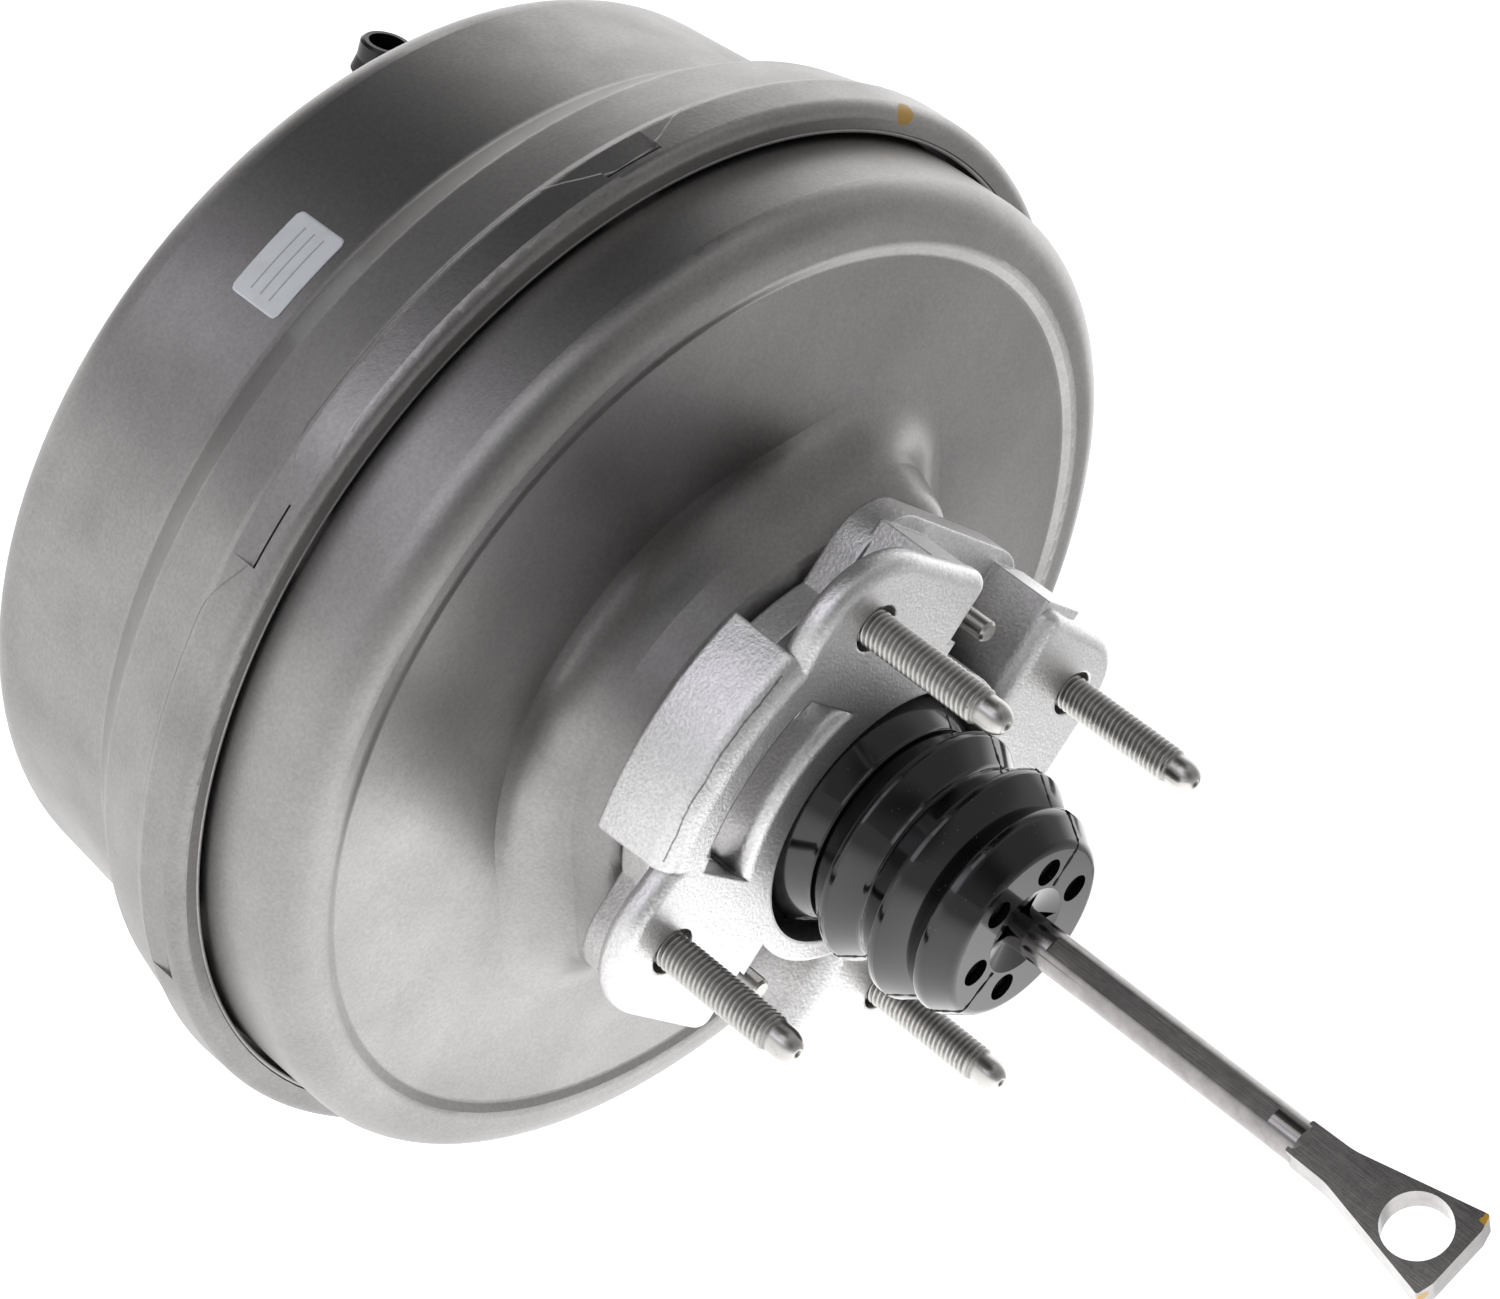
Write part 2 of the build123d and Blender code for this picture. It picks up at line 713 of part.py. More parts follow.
def support_plate(hub_y, plate_y, plate_radius):
    """Pressed steel plate that carries a diaphragm, with its rim turned forward."""
    points = plate_points(hub_y, plate_y, plate_radius)
    with BuildPart() as plate:
        with BuildSketch(Plane.XY):
            with BuildLine():
                FilletPolyline(*points, radius=[4.0] * (len(points) - 3) + [3.0])
                offset(amount=support_wall, side=Side.LEFT, closed=True)
            make_face()
        revolve(axis=Axis.Y)
    return plate


def lock_ring(back_y):
    """Spring steel ring that holds a support plate on the piston's tube."""
    with BuildPart() as ring:
        with BuildSketch(cross_section(back_y + 1.6)):
            Circle(piston_tube_radius + 5.0)
            Circle(piston_tube_radius + seat_clearance, mode=Mode.SUBTRACT)
        extrude(amount=1.6)
    return ring


primary_bead_y = flange_y + shell_wall
secondary_bead_y = divider_rim_y + divider_wall
primary_diaphragm = diaphragm(
    primary_hub_y,
    primary_plate_y,
    primary_plate_radius,
    primary_wall_radius,
    primary_bead_y,
    primary_bead_outer,
)
primary_diaphragm.part.label = "primary_diaphragm"
export_step(primary_diaphragm.part, "parts/primary_diaphragm.step")

primary_support_plate = support_plate(primary_hub_y, primary_plate_y, primary_plate_radius)
primary_support_plate.part.label = "primary_support_plate"
export_step(primary_support_plate.part, "parts/primary_support_plate.step")

primary_lock_ring = lock_ring(primary_hub_y + support_wall)
primary_lock_ring.part.label = "primary_lock_ring"
export_step(primary_lock_ring.part, "parts/primary_lock_ring.step")

secondary_diaphragm = diaphragm(
    secondary_plate_y,
    secondary_plate_y,
    secondary_plate_radius,
    secondary_wall_radius,
    secondary_bead_y,
    secondary_bead_outer,
)
secondary_diaphragm.part.label = "secondary_diaphragm"
export_step(secondary_diaphragm.part, "parts/secondary_diaphragm.step")

secondary_support_plate = support_plate(secondary_plate_y, secondary_plate_y, secondary_plate_radius)
secondary_support_plate.part.label = "secondary_support_plate"
export_step(secondary_support_plate.part, "parts/secondary_support_plate.step")

secondary_lock_ring = lock_ring(secondary_plate_y + support_wall)
secondary_lock_ring.part.label = "secondary_lock_ring"
export_step(secondary_lock_ring.part, "parts/secondary_lock_ring.step")

# ---- valve body --------------------------------------------------------------------------------

neck_bore = neck_radius - neck_wall
pocket_radius = piston_tube_radius - piston_tube_wall
plunger_bore = plunger_stem_radius + running_clearance
reaction_bore = reaction_radius + seat_clearance
key_y = divider_back_y - stroke - key_thickness - loose_clearance
with BuildPart() as valve_body:
    with BuildSketch(Plane.XY):
        with BuildLine():
            Polyline(
                (neck_bore, neck_end_y),
                (neck_radius, neck_end_y),
                (neck_radius, piston_shoulder_y - 7.0),
                (piston_shoulder_radius, piston_shoulder_y - 7.0),
                (piston_shoulder_radius, piston_shoulder_y - diaphragm_wall),
                (piston_tube_radius, piston_shoulder_y - diaphragm_wall),
                (piston_tube_radius, piston_front_y),
                (pocket_radius, piston_front_y),
                (pocket_radius, spring_pocket_y),
                (piston_core_radius, spring_pocket_y),
                (piston_core_radius, piston_front_y),
                (reaction_bore, piston_front_y),
                (reaction_bore, reaction_bore_y),
                (plunger_bore, reaction_bore_y),
                (plunger_bore, plunger_guide_y),
                (valve_seat_radius, plunger_guide_y),
                (valve_seat_radius, valve_seat_y),
                (poppet_bore_radius, valve_seat_y),
                (poppet_bore_radius, filter_bore_depth_y),
                (neck_bore, filter_bore_depth_y),
                close=True,
            )
        make_face()
    revolve(axis=Axis.Y)
    # slot for the stop key, open to one side
    with BuildSketch(cross_section(key_y + key_thickness + 2 * seat_clearance)):
        with Locations((0, piston_tube_radius / 2)):
            Rectangle(key_width + 4 * seat_clearance, piston_tube_radius + 1.0)
    extrude(amount=key_thickness + 4 * seat_clearance, mode=Mode.SUBTRACT)
valve_body.part.label = "valve_body"
export_step(valve_body.part, "parts/valve_body.step")

with BuildPart() as stop_key:
    with BuildSketch(cross_section(key_y + key_thickness)):
        with Locations((0, piston_tube_radius / 2)):
            Rectangle(key_width, piston_tube_radius - 1.0)
        Circle(key_groove_radius + loose_clearance, mode=Mode.SUBTRACT)
        with Locations((0, -key_width / 2)):
            Rectangle(2 * (key_groove_radius + loose_clearance), key_width, mode=Mode.SUBTRACT)
    extrude(amount=key_thickness)
stop_key.part.label = "stop_key"
export_step(stop_key.part, "parts/stop_key.step")

# ---- neck guide and seal, inside the rear shell's collar ---------------------------------------


def ring(outer_radius, bore, start_y, end_y):
    """Flat ring about the booster's axis between two heights."""
    with BuildPart() as band:
        with BuildSketch(cross_section(end_y)):
            Circle(outer_radius)
            Circle(bore, mode=Mode.SUBTRACT)
        extrude(amount=end_y - start_y)
    return band


collar_fit = collar_bore - running_clearance
neck_bore_fit = neck_radius + running_clearance
seal_retainer_y = collar_end_y + loose_clearance
neck_seal_y = seal_retainer_y + seal_retainer_thickness
neck_bush_y = neck_seal_y + neck_seal_height

seal_retainer = ring(collar_fit, neck_radius + loose_clearance, seal_retainer_y, neck_seal_y)
seal_retainer.part.label = "seal_retainer"
export_step(seal_retainer.part, "parts/seal_retainer.step")

neck_seal = ring(collar_fit, neck_bore_fit, neck_seal_y, neck_bush_y)
neck_seal.part.label = "neck_seal"
export_step(neck_seal.part, "parts/neck_seal.step")

neck_bush = ring(collar_fit, neck_bore_fit, neck_bush_y, bracket_depth - 1.0)
neck_bush.part.label = "neck_bush"
export_step(neck_bush.part, "parts/neck_bush.step")

# ---- control valve -----------------------------------------------------------------------------

socket_radius = ball_radius + running_clearance
plunger_back_y = valve_seat_y + 0.3
plunger_head_front_y = plunger_guide_y - plunger_travel - 1.0
plunger_tip_y = reaction_bore_y - plunger_travel - 0.1
with BuildPart() as plunger:
    with BuildSketch(Plane.XY):
        with BuildLine():
            Polyline(
                (0, plunger_back_y),
                (plunger_head_radius, plunger_back_y),
                (plunger_head_radius, plunger_head_front_y),
                (plunger_stem_radius, plunger_head_front_y),
                (plunger_stem_radius, key_y - plunger_travel - seat_clearance),
                (key_groove_radius, key_y - plunger_travel - seat_clearance),
                (key_groove_radius, key_y + key_thickness + seat_clearance),
                (plunger_stem_radius, key_y + key_thickness + seat_clearance),
                (plunger_stem_radius, plunger_tip_y),
                (0, plunger_tip_y),
                close=True,
            )
        make_face()
    revolve(axis=Axis.Y)
    with Locations((0, ball_y, 0)):
        Sphere(socket_radius, mode=Mode.SUBTRACT)
    # mouth of the socket, wide enough for the rod to swing
    with BuildSketch(cross_section(ball_y)):
        Circle(rod_waist_radius + 1.0)
    extrude(amount=ball_y - plunger_back_y, taper=-swing_angle - 5.0, mode=Mode.SUBTRACT)
plunger.part.label = "plunger"
export_step(plunger.part, "parts/plunger.step")

poppet_face_radius = valve_seat_radius + 1.8
poppet_sleeve_radius = valve_seat_radius + 0.7
retainer_y = filter_bore_depth_y + 1.0
poppet_back_y = retainer_y + retainer_thickness
with BuildPart() as poppet_valve:
    with BuildSketch(Plane.XY):
        with BuildLine():
            Polyline(
                (poppet_bore, valve_seat_y),
                (poppet_face_radius, valve_seat_y),
                (poppet_face_radius, valve_seat_y - poppet_lip),
                (poppet_sleeve_radius, valve_seat_y - poppet_lip),
                (poppet_sleeve_radius, poppet_back_y + 1.5),
                (poppet_bore_radius - seat_clearance, poppet_back_y + 1.5),
                (poppet_bore_radius - seat_clearance, poppet_back_y),
                (poppet_sleeve_radius - 1.2, poppet_back_y),
                (poppet_sleeve_radius - 1.2, valve_seat_y - poppet_lip),
                (poppet_bore, valve_seat_y - poppet_lip),
                close=True,
            )
        make_face()
    revolve(axis=Axis.Y)
poppet_valve.part.label = "poppet_valve"
export_step(poppet_valve.part, "parts/poppet_valve.step")

with BuildPart() as poppet_retainer:
    with BuildSketch(cross_section(poppet_back_y)):
        Circle(poppet_bore_radius - running_clearance)
        Circle(retainer_bore, mode=Mode.SUBTRACT)
    extrude(amount=retainer_thickness)
poppet_retainer.part.label = "poppet_retainer"
export_step(poppet_retainer.part, "parts/poppet_retainer.step")

poppet_spring_radius = poppet_sleeve_radius - 1.2 - 0.3 - poppet_wire_radius
poppet_front_y = valve_seat_y - poppet_lip
poppet_spring = coil(
    poppet_spring_radius, poppet_wire_radius, poppet_turns, poppet_back_y, poppet_front_y
)
poppet_spring.part.label = "poppet_spring"
export_step(poppet_spring.part, "parts/poppet_spring.step")

with BuildPart() as rod_spring_seat:
    with BuildSketch(cross_section(rod_seat_y)):
        Circle(rod_seat_radius)
        Circle(rod_radius + seat_clearance, mode=Mode.SUBTRACT)
    extrude(amount=rod_seat_thickness)
rod_spring_seat.part.label = "rod_spring_seat"
export_step(rod_spring_seat.part, "parts/rod_spring_seat.step")
rod_spring_radius = retainer_bore + 2.0
rod_spring_y = rod_seat_y + running_clearance
rod_spring = coil(
    rod_spring_radius, rod_spring_wire_radius, rod_spring_turns, rod_spring_y, retainer_y
)
rod_spring.part.label = "rod_spring"
export_step(rod_spring.part, "parts/rod_spring.step")

with BuildPart() as reaction_disc:
    with BuildSketch(cross_section(reaction_bore_y + reaction_thickness)):
        Circle(reaction_radius)
    extrude(amount=reaction_thickness)
reaction_disc.part.label = "reaction_disc"
export_step(reaction_disc.part, "parts/reaction_disc.step")

output_head_y = reaction_bore_y + reaction_thickness
with BuildPart() as output_rod:
    with BuildSketch(cross_section(output_head_y + output_head_thickness)):
        Circle(reaction_radius)
    extrude(amount=output_head_thickness)
    with BuildSketch(cross_section(output_tip_y)):
        Circle(output_rod_radius)
    extrude(amount=output_tip_y - output_head_y)
    fillet(output_rod.faces().sort_by(Axis.Y)[-1].edges(), radius=output_rod_radius * 0.7)
output_rod.part.label = "output_rod"
export_step(output_rod.part, "parts/output_rod.step")

with BuildPart() as output_rod_retainer:
    with BuildSketch(cross_section(piston_front_y + support_wall)):
        Circle(piston_core_radius)
        Circle(output_rod_radius + loose_clearance, mode=Mode.SUBTRACT)
    extrude(amount=support_wall)
output_rod_retainer.part.label = "output_rod_retainer"
export_step(output_rod_retainer.part, "parts/output_rod_retainer.step")

return_radius = pocket_radius - 0.4 - return_wire_radius
return_spring = coil(
    return_radius, return_wire_radius, return_turns, spring_pocket_y, front_plate_y
)
return_spring.part.label = "return_spring"
export_step(return_spring.part, "parts/return_spring.step")

# ---- air filter, inside the neck ---------------------------------------------------------------

filter_front_y = neck_end_y + filter_insertion
filter_back_y = cap_end_y + boot_wall + 1.0
filter_fit = neck_bore - seat_clearance
filter_foam = ring(filter_fit, filter_bore, filter_back_y, filter_front_y)
filter_foam.part.label = "filter_foam"
export_step(filter_foam.part, "parts/filter_foam.step")

silencer_felt = ring(filter_fit, filter_bore, filter_front_y, filter_front_y + felt_thickness)
silencer_felt.part.label = "silencer_felt"
export_step(silencer_felt.part, "parts/silencer_felt.step")

# ---- boot --------------------------------------------------------------------------------------

boot_root_radius = collar_radius + seat_clearance + boot_wall
boot_points = [(boot_root_radius, boot_root_y), (boot_root_radius, boot_first_ridge_y + 5.0)]
boot_radii = [1.6]
for ridge in range(boot_ridges):
    ridge_y = boot_first_ridge_y - ridge * boot_pitch
    boot_points += [(boot_ridge_radius, ridge_y), (boot_valley_radius, ridge_y - boot_pitch / 2)]
    boot_radii += [1.8, 2.0]
boot_radii.pop()
cap_front_y = boot_points[-1][1]
with BuildPart() as boot_bellows:
    with BuildSketch(Plane.XY):
        with BuildLine():
            FilletPolyline(*boot_points, radius=boot_radii)
            offset(amount=boot_wall, side=Side.RIGHT, closed=True)
        make_face()
    revolve(axis=Axis.Y)
boot_bellows.part.label = "boot_bellows"
export_step(boot_bellows.part, "parts/boot_bellows.step")

with BuildPart() as boot_cap:
    with BuildSketch(Plane.XY):
        with BuildLine():
            FilletPolyline(
                (boot_valley_radius, cap_front_y),
                (cap_radius, cap_front_y - 2.0),
                (cap_radius, cap_shoulder_y),
                (cap_end_radius, cap_end_y),
                (cap_opening_radius, cap_end_y),
                radius=[1.5, 2.5, 2.0],
            )
            offset(amount=boot_wall, side=Side.RIGHT, closed=True)
        make_face()
    revolve(axis=Axis.Y)
    # inner band that grips the neck
    with BuildSketch(cross_section(cap_front_y)):
        Circle(boot_valley_radius - boot_wall / 2)
        Circle(neck_radius + running_clearance, mode=Mode.SUBTRACT)
    extrude(amount=cap_front_y - neck_end_y)
    # breather vents
    with BuildSketch(cross_section(cap_end_y + 2 * boot_wall)):
        with PolarLocations(vent_circle_radius, vent_count, start_angle=vent_first_angle):
            Circle(vent_radius)
    extrude(amount=3 * boot_wall, mode=Mode.SUBTRACT)
boot_cap.part.label = "boot_cap"
export_step(boot_cap.part, "parts/boot_cap.step")

with BuildPart() as boot_lip:
    with BuildSketch(cross_section(cap_end_y + boot_wall)):
        Circle(cap_opening_radius - running_clearance)
        Circle(rod_radius + seat_clearance, mode=Mode.SUBTRACT)
        with PolarLocations(0, lip_slits, angular_range=180):
            Rectangle(2 * (cap_opening_radius - 1.5), lip_slit_width, mode=Mode.SUBTRACT)
    extrude(amount=boot_wall)
boot_lip.part.label = "boot_lip"
export_step(boot_lip.part, "parts/boot_lip.step")

# ---- push rod ----------------------------------------------------------------------------------

eye_direction = (cos(radians(eye_angle)), 0, sin(radians(eye_angle)))
eye_normal = (-sin(radians(eye_angle)), 0, cos(radians(eye_angle)))
eye_plane = Plane(origin=(0, 0, 0), x_dir=eye_direction, z_dir=eye_normal)
eye_waist_y = eye_neck_y - eye_waist_length
with BuildPart() as push_rod:
    with Locations((0, ball_y, 0)):
        Sphere(ball_radius)
    with BuildSketch(cross_section(ball_y)):
        Circle(rod_waist_radius)
    extrude(amount=ball_y + rod_seat_thickness - rod_seat_y)
    with BuildSketch(cross_section(rod_seat_y + 8.0)):
        Circle(rod_radius)
    extrude(amount=rod_seat_y + 8.0 - eye_neck_y)
    chamfer(push_rod.faces().sort_by(Axis.Y)[0].edges(), length=rod_radius - eye_thickness / 2)
    # long flats left by the forging dies
    for side in (1, -1):
        with BuildSketch(eye_plane.offset(side * rod_radius)):
            with Locations((0, (cap_end_y + eye_neck_y) / 2)):
                Rectangle(2 * rod_radius, cap_end_y - eye_neck_y - 16.0)
        extrude(amount=-side * (rod_radius - rod_flat_half_width), mode=Mode.SUBTRACT)
    # eye plate
    with BuildSketch(eye_plane):
        with BuildLine():
            FilletPolyline(
                (rod_radius - 0.4, eye_neck_y + 2.0),
                (rod_radius - 0.2, eye_waist_y),
                (eye_half_width, eye_end_y + 0.9),
                (eye_half_width - eye_corner, eye_end_y),
                (eye_corner - eye_half_width, eye_end_y),
                (-eye_half_width, eye_end_y + 0.9),
                (0.2 - rod_radius, eye_waist_y),
                (0.4 - rod_radius, eye_neck_y + 2.0),
                close=True,
                radius=[0.5, 14.0, 0.6, 0.4, 0.4, 0.6, 14.0, 0.5],
            )
        make_face()
        with Locations((0, eye_y)):
            Circle(eye_hole_radius, mode=Mode.SUBTRACT)
    extrude(amount=eye_thickness / 2, both=True)
push_rod.part.label = "push_rod"
export_step(push_rod.part, "parts/push_rod.step")

# ---- vacuum check valve ------------------------------------------------------------------------

valve_plane = Plane(origin=(valve_x, 0, valve_z), x_dir=(1, 0, 0), z_dir=(0, 0, 1))
valve_axis = Axis((valve_x, 0, valve_z), (0, 1, 0))
grommet_neck = grommet_radius - grommet_flange - running_clearance
grommet_bore = valve_stem_radius + running_clearance
shell_inner_y = front_face_y - shell_wall
grommet_front_y = front_face_y + grommet_flange
with BuildPart() as check_valve_grommet:
    with BuildSketch(valve_plane):
        with BuildLine():
            Polyline(
                (grommet_bore, shell_inner_y - grommet_flange),
                (grommet_radius - 2.0, shell_inner_y - grommet_flange),
                (grommet_radius - 1.0, shell_inner_y),
                (grommet_neck, shell_inner_y),
                (grommet_neck, front_face_y),
                (grommet_radius, front_face_y),
                (grommet_radius, grommet_front_y - 1.0),
                (grommet_radius - 1.0, grommet_front_y),
                (grommet_bore, grommet_front_y),
                close=True,
            )
        make_face()
    revolve(axis=valve_axis)
check_valve_grommet.part.label = "check_valve_grommet"
export_step(check_valve_grommet.part, "parts/check_valve_grommet.step")

can_bore = valve_can_radius - can_wall
base_front_y = grommet_front_y + 2.5
stem_bore = valve_stem_radius - 2.5
with BuildPart() as check_valve_base:
    with BuildSketch(valve_plane):
        with BuildLine():
            Polyline(
                (stem_bore, shell_inner_y - grommet_flange - 1.5),
                (valve_stem_radius, shell_inner_y - grommet_flange - 1.5),
                (valve_stem_radius, grommet_front_y),
                (valve_can_radius, grommet_front_y),
                (valve_can_radius, base_front_y),
                (stem_bore, base_front_y),
                close=True,
            )
        make_face()
    revolve(axis=valve_axis)
check_valve_base.part.label = "check_valve_base"
export_step(check_valve_base.part, "parts/check_valve_base.step")

nozzle_y = front_face_y + nozzle_standoff
can_top_y = nozzle_y + nozzle_radius + 1.0
lift_stop_y = base_front_y + check_disc_thickness + check_lift + seat_clearance
nozzle_way = (cos(radians(nozzle_direction)), 0, sin(radians(nozzle_direction)))
nozzle_root = (valve_x, nozzle_y, valve_z)
nozzle_plane = Plane(origin=nozzle_root, x_dir=(0, 1, 0), z_dir=nozzle_way)
nozzle_section = Plane(origin=nozzle_root, x_dir=(0, 1, 0), z_dir=(nozzle_way[2], 0, -nozzle_way[0]))
barb_front = nozzle_length - barb_setback
with BuildPart() as check_valve_elbow:
    with BuildSketch(cross_section(can_top_y)):
        with Locations((valve_x, valve_z)):
            Circle(valve_can_radius)
    extrude(amount=can_top_y - base_front_y)
    fillet(check_valve_elbow.faces().sort_by(Axis.Y)[-1].edges(), radius=2.0)
    with BuildSketch(nozzle_section):
        with BuildLine():
            Polyline(
                (0, 0),
                (nozzle_radius, 0),
                (nozzle_radius, barb_front - barb_length),
                (barb_radius, barb_front - barb_length),
                (nozzle_radius, barb_front),
                (nozzle_radius, nozzle_length - nozzle_tip_chamfer),
                (nozzle_radius - nozzle_tip_chamfer, nozzle_length),
                (0, nozzle_length),
                close=True,
            )
        make_face()
    revolve(axis=Axis(nozzle_root, nozzle_way))
    # room for the disc, and above it a slotted ledge that stops the disc and lets air past
    with BuildSketch(cross_section(lift_stop_y)):
        with Locations((valve_x, valve_z)):
            Circle(can_bore)
    extrude(amount=lift_stop_y - base_front_y, mode=Mode.SUBTRACT)
    with BuildSketch(cross_section(can_top_y - can_wall)):
        with Locations((valve_x, valve_z)):
            Circle(check_disc_radius - 0.4)
            Rectangle(2 * can_bore - 2.0, check_disc_radius)
            Rectangle(check_disc_radius, 2 * can_bore - 2.0)
    extrude(amount=can_top_y - can_wall - lift_stop_y, mode=Mode.SUBTRACT)
    with BuildSketch(nozzle_plane):
        Circle(nozzle_bore_radius)
    extrude(amount=nozzle_length, mode=Mode.SUBTRACT)
check_valve_elbow.part.label = "check_valve_elbow"
export_step(check_valve_elbow.part, "parts/check_valve_elbow.step")

with BuildPart() as check_disc:
    with BuildSketch(cross_section(base_front_y + check_disc_thickness)):
        with Locations((valve_x, valve_z)):
            Circle(check_disc_radius)
    extrude(amount=check_disc_thickness)
check_disc.part.label = "check_disc"
export_step(check_disc.part, "parts/check_disc.step")

check_radius = check_disc_radius - 1.0
check_back_y = base_front_y + check_disc_thickness
check_front_y = can_top_y - can_wall
check_spring = coil(
    check_radius, check_wire_radius, check_turns, check_back_y, check_front_y, valve_x, valve_z
)
check_spring.part.label = "check_spring"
export_step(check_spring.part, "parts/check_spring.step")
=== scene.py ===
import json
import math
import random

import bpy
from bpy.props import FloatProperty, FloatVectorProperty, IntProperty, PointerProperty
from mathutils import Matrix, Vector

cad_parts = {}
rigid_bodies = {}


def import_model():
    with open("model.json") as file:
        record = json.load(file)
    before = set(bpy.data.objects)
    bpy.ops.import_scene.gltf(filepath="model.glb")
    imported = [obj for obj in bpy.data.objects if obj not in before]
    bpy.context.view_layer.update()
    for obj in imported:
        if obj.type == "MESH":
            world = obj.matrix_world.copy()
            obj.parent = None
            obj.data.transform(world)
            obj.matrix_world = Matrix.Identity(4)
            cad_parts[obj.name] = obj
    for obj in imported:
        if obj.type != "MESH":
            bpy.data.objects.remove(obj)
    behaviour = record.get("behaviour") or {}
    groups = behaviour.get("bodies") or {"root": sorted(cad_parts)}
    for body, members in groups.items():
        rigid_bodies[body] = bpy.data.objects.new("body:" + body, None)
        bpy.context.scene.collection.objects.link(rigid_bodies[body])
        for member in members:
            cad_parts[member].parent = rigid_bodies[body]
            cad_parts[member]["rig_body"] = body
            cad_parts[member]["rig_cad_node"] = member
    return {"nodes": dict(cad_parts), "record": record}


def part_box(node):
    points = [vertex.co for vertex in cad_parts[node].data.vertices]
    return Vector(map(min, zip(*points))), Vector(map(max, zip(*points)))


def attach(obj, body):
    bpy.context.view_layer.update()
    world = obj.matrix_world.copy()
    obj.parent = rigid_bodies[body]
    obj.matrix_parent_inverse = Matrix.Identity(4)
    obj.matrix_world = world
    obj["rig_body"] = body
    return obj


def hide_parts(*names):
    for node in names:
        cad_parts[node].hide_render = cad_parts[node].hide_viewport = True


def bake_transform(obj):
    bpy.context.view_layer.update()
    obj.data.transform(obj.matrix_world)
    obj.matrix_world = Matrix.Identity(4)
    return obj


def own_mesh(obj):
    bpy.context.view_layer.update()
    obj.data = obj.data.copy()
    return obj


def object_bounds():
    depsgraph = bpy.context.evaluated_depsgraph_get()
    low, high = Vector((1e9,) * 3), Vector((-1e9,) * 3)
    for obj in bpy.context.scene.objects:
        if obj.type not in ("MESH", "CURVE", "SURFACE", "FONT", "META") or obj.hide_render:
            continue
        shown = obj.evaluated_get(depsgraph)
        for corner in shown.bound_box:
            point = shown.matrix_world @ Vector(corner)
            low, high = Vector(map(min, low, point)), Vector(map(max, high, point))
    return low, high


bl_info = {
    "name": "Brake Booster Dressing",
    "version": (1, 0, 0),
    "blender": (4, 5, 0),
    "location": "View3D > Sidebar > Booster",
    "description": "Gives the packed brake booster its finishes, threads, boot, label and stage",
    "category": "Object",
}

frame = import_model()
cad_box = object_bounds()
nodes = frame["nodes"]
node_slots = {part["node"]: part["material_slot"] for part in frame["record"]["subparts"]}
MM = 0.001


def linear(hex_colour):
    """Linear RGBA of an sRGB colour written as six hex digits."""
    levels = [int(hex_colour[i:i + 2], 16) / 255 for i in (0, 2, 4)]
    return tuple(v / 12.92 if v <= 0.04045 else ((v + 0.055) / 1.055) ** 2.4 for v in levels) + (1.0,)


# ---- settings ----------------------------------------------------------------------------------


def colour_setting(name, description, hex_colour):
    """A colour property with its default written as sRGB hex."""
    return FloatVectorProperty(name=name, description=description, subtype="COLOR", size=4,
                               min=0.0, max=1.0, default=linear(hex_colour))


def length_setting(name, description, default_mm, least_mm, most_mm):
    """A length property with its values written in millimetres."""
    return FloatProperty(name=name, description=description, unit="LENGTH", default=default_mm * MM,
                         min=least_mm * MM, max=most_mm * MM)


def amount_setting(name, description, default):
    """A plain amount from 0 to 5."""
    return FloatProperty(name=name, description=description, default=default, min=0, max=5)


class BoosterFinishes(bpy.types.PropertyGroup):
    """Colours of the booster's materials."""
    shell_steel: colour_setting("Shell steel", "Bare steel of the rear shell after blasting", "AFADAC")
    shell_shade: colour_setting("Shell steel shade", "Darker patches on the rear shell", "9F9D9C")
    # painted shade: the front shell's steel and its patches are darker copies of the rear shell's steel
    drum_steel_shaded: colour_setting("Drum steel", "Front shell, which was blasted less", "A4A2A1")
    drum_shade: colour_setting("Drum steel shade", "Darker patches on the front shell", "969493")
    cast_aluminium: colour_setting("Cast aluminium", "Skin of the bracket's casting", "F3F2F2")
    stud_zinc: colour_setting("Stud zinc", "Zinc plating on the studs and pins", "C6C4C1")
    rod_steel: colour_setting("Rod steel", "Polished forged steel of the push rod", "A09D9C")
    pressed_steel: colour_setting("Pressed steel", "Passivated plates inside the booster", "A79C78")
    spring_steel: colour_setting("Spring steel", "Oiled wire of the springs", "4A4846")
    boot_rubber: colour_setting("Boot rubber", "Moulded rubber of the boot", "060607")
    diaphragm_rubber: colour_setting("Diaphragm rubber", "Rubber of the seals", "1A1A1A")
    valve_body: colour_setting("Valve body", "Glass-filled phenolic of the power piston", "2A211B")
    nozzle_plastic: colour_setting("Nozzle plastic", "Nylon of the vacuum check valve", "0E0E0F")
    filter_foam: colour_setting("Filter foam", "Open-cell foam behind the boot's vents", "3C3D33")
    label_paper: colour_setting("Label", "White face of the label", "E9EDF2")
    paint_mark: colour_setting("Paint mark", "Inspector's dabs of paint", "D9A93C")


class StudThreads(bpy.types.PropertyGroup):
    """Rolled threads of the studs."""
    pitch: length_setting("Pitch", "Distance between two crests", 1.25, 0.5, 3)
    depth: length_setting("Depth", "From the crest to the root", 0.72, 0.1, 1.5)
    lead_length: length_setting("Lead length", "Smooth lead at the tip", 6.0, 1, 12)
    lead_radius: length_setting("Lead radius", "Radius of the smooth lead", 3.4, 1, 4)
    dimple_radius: length_setting("Dimple radius", "Centre mark in the tip", 0.85, 0.2, 1.5)


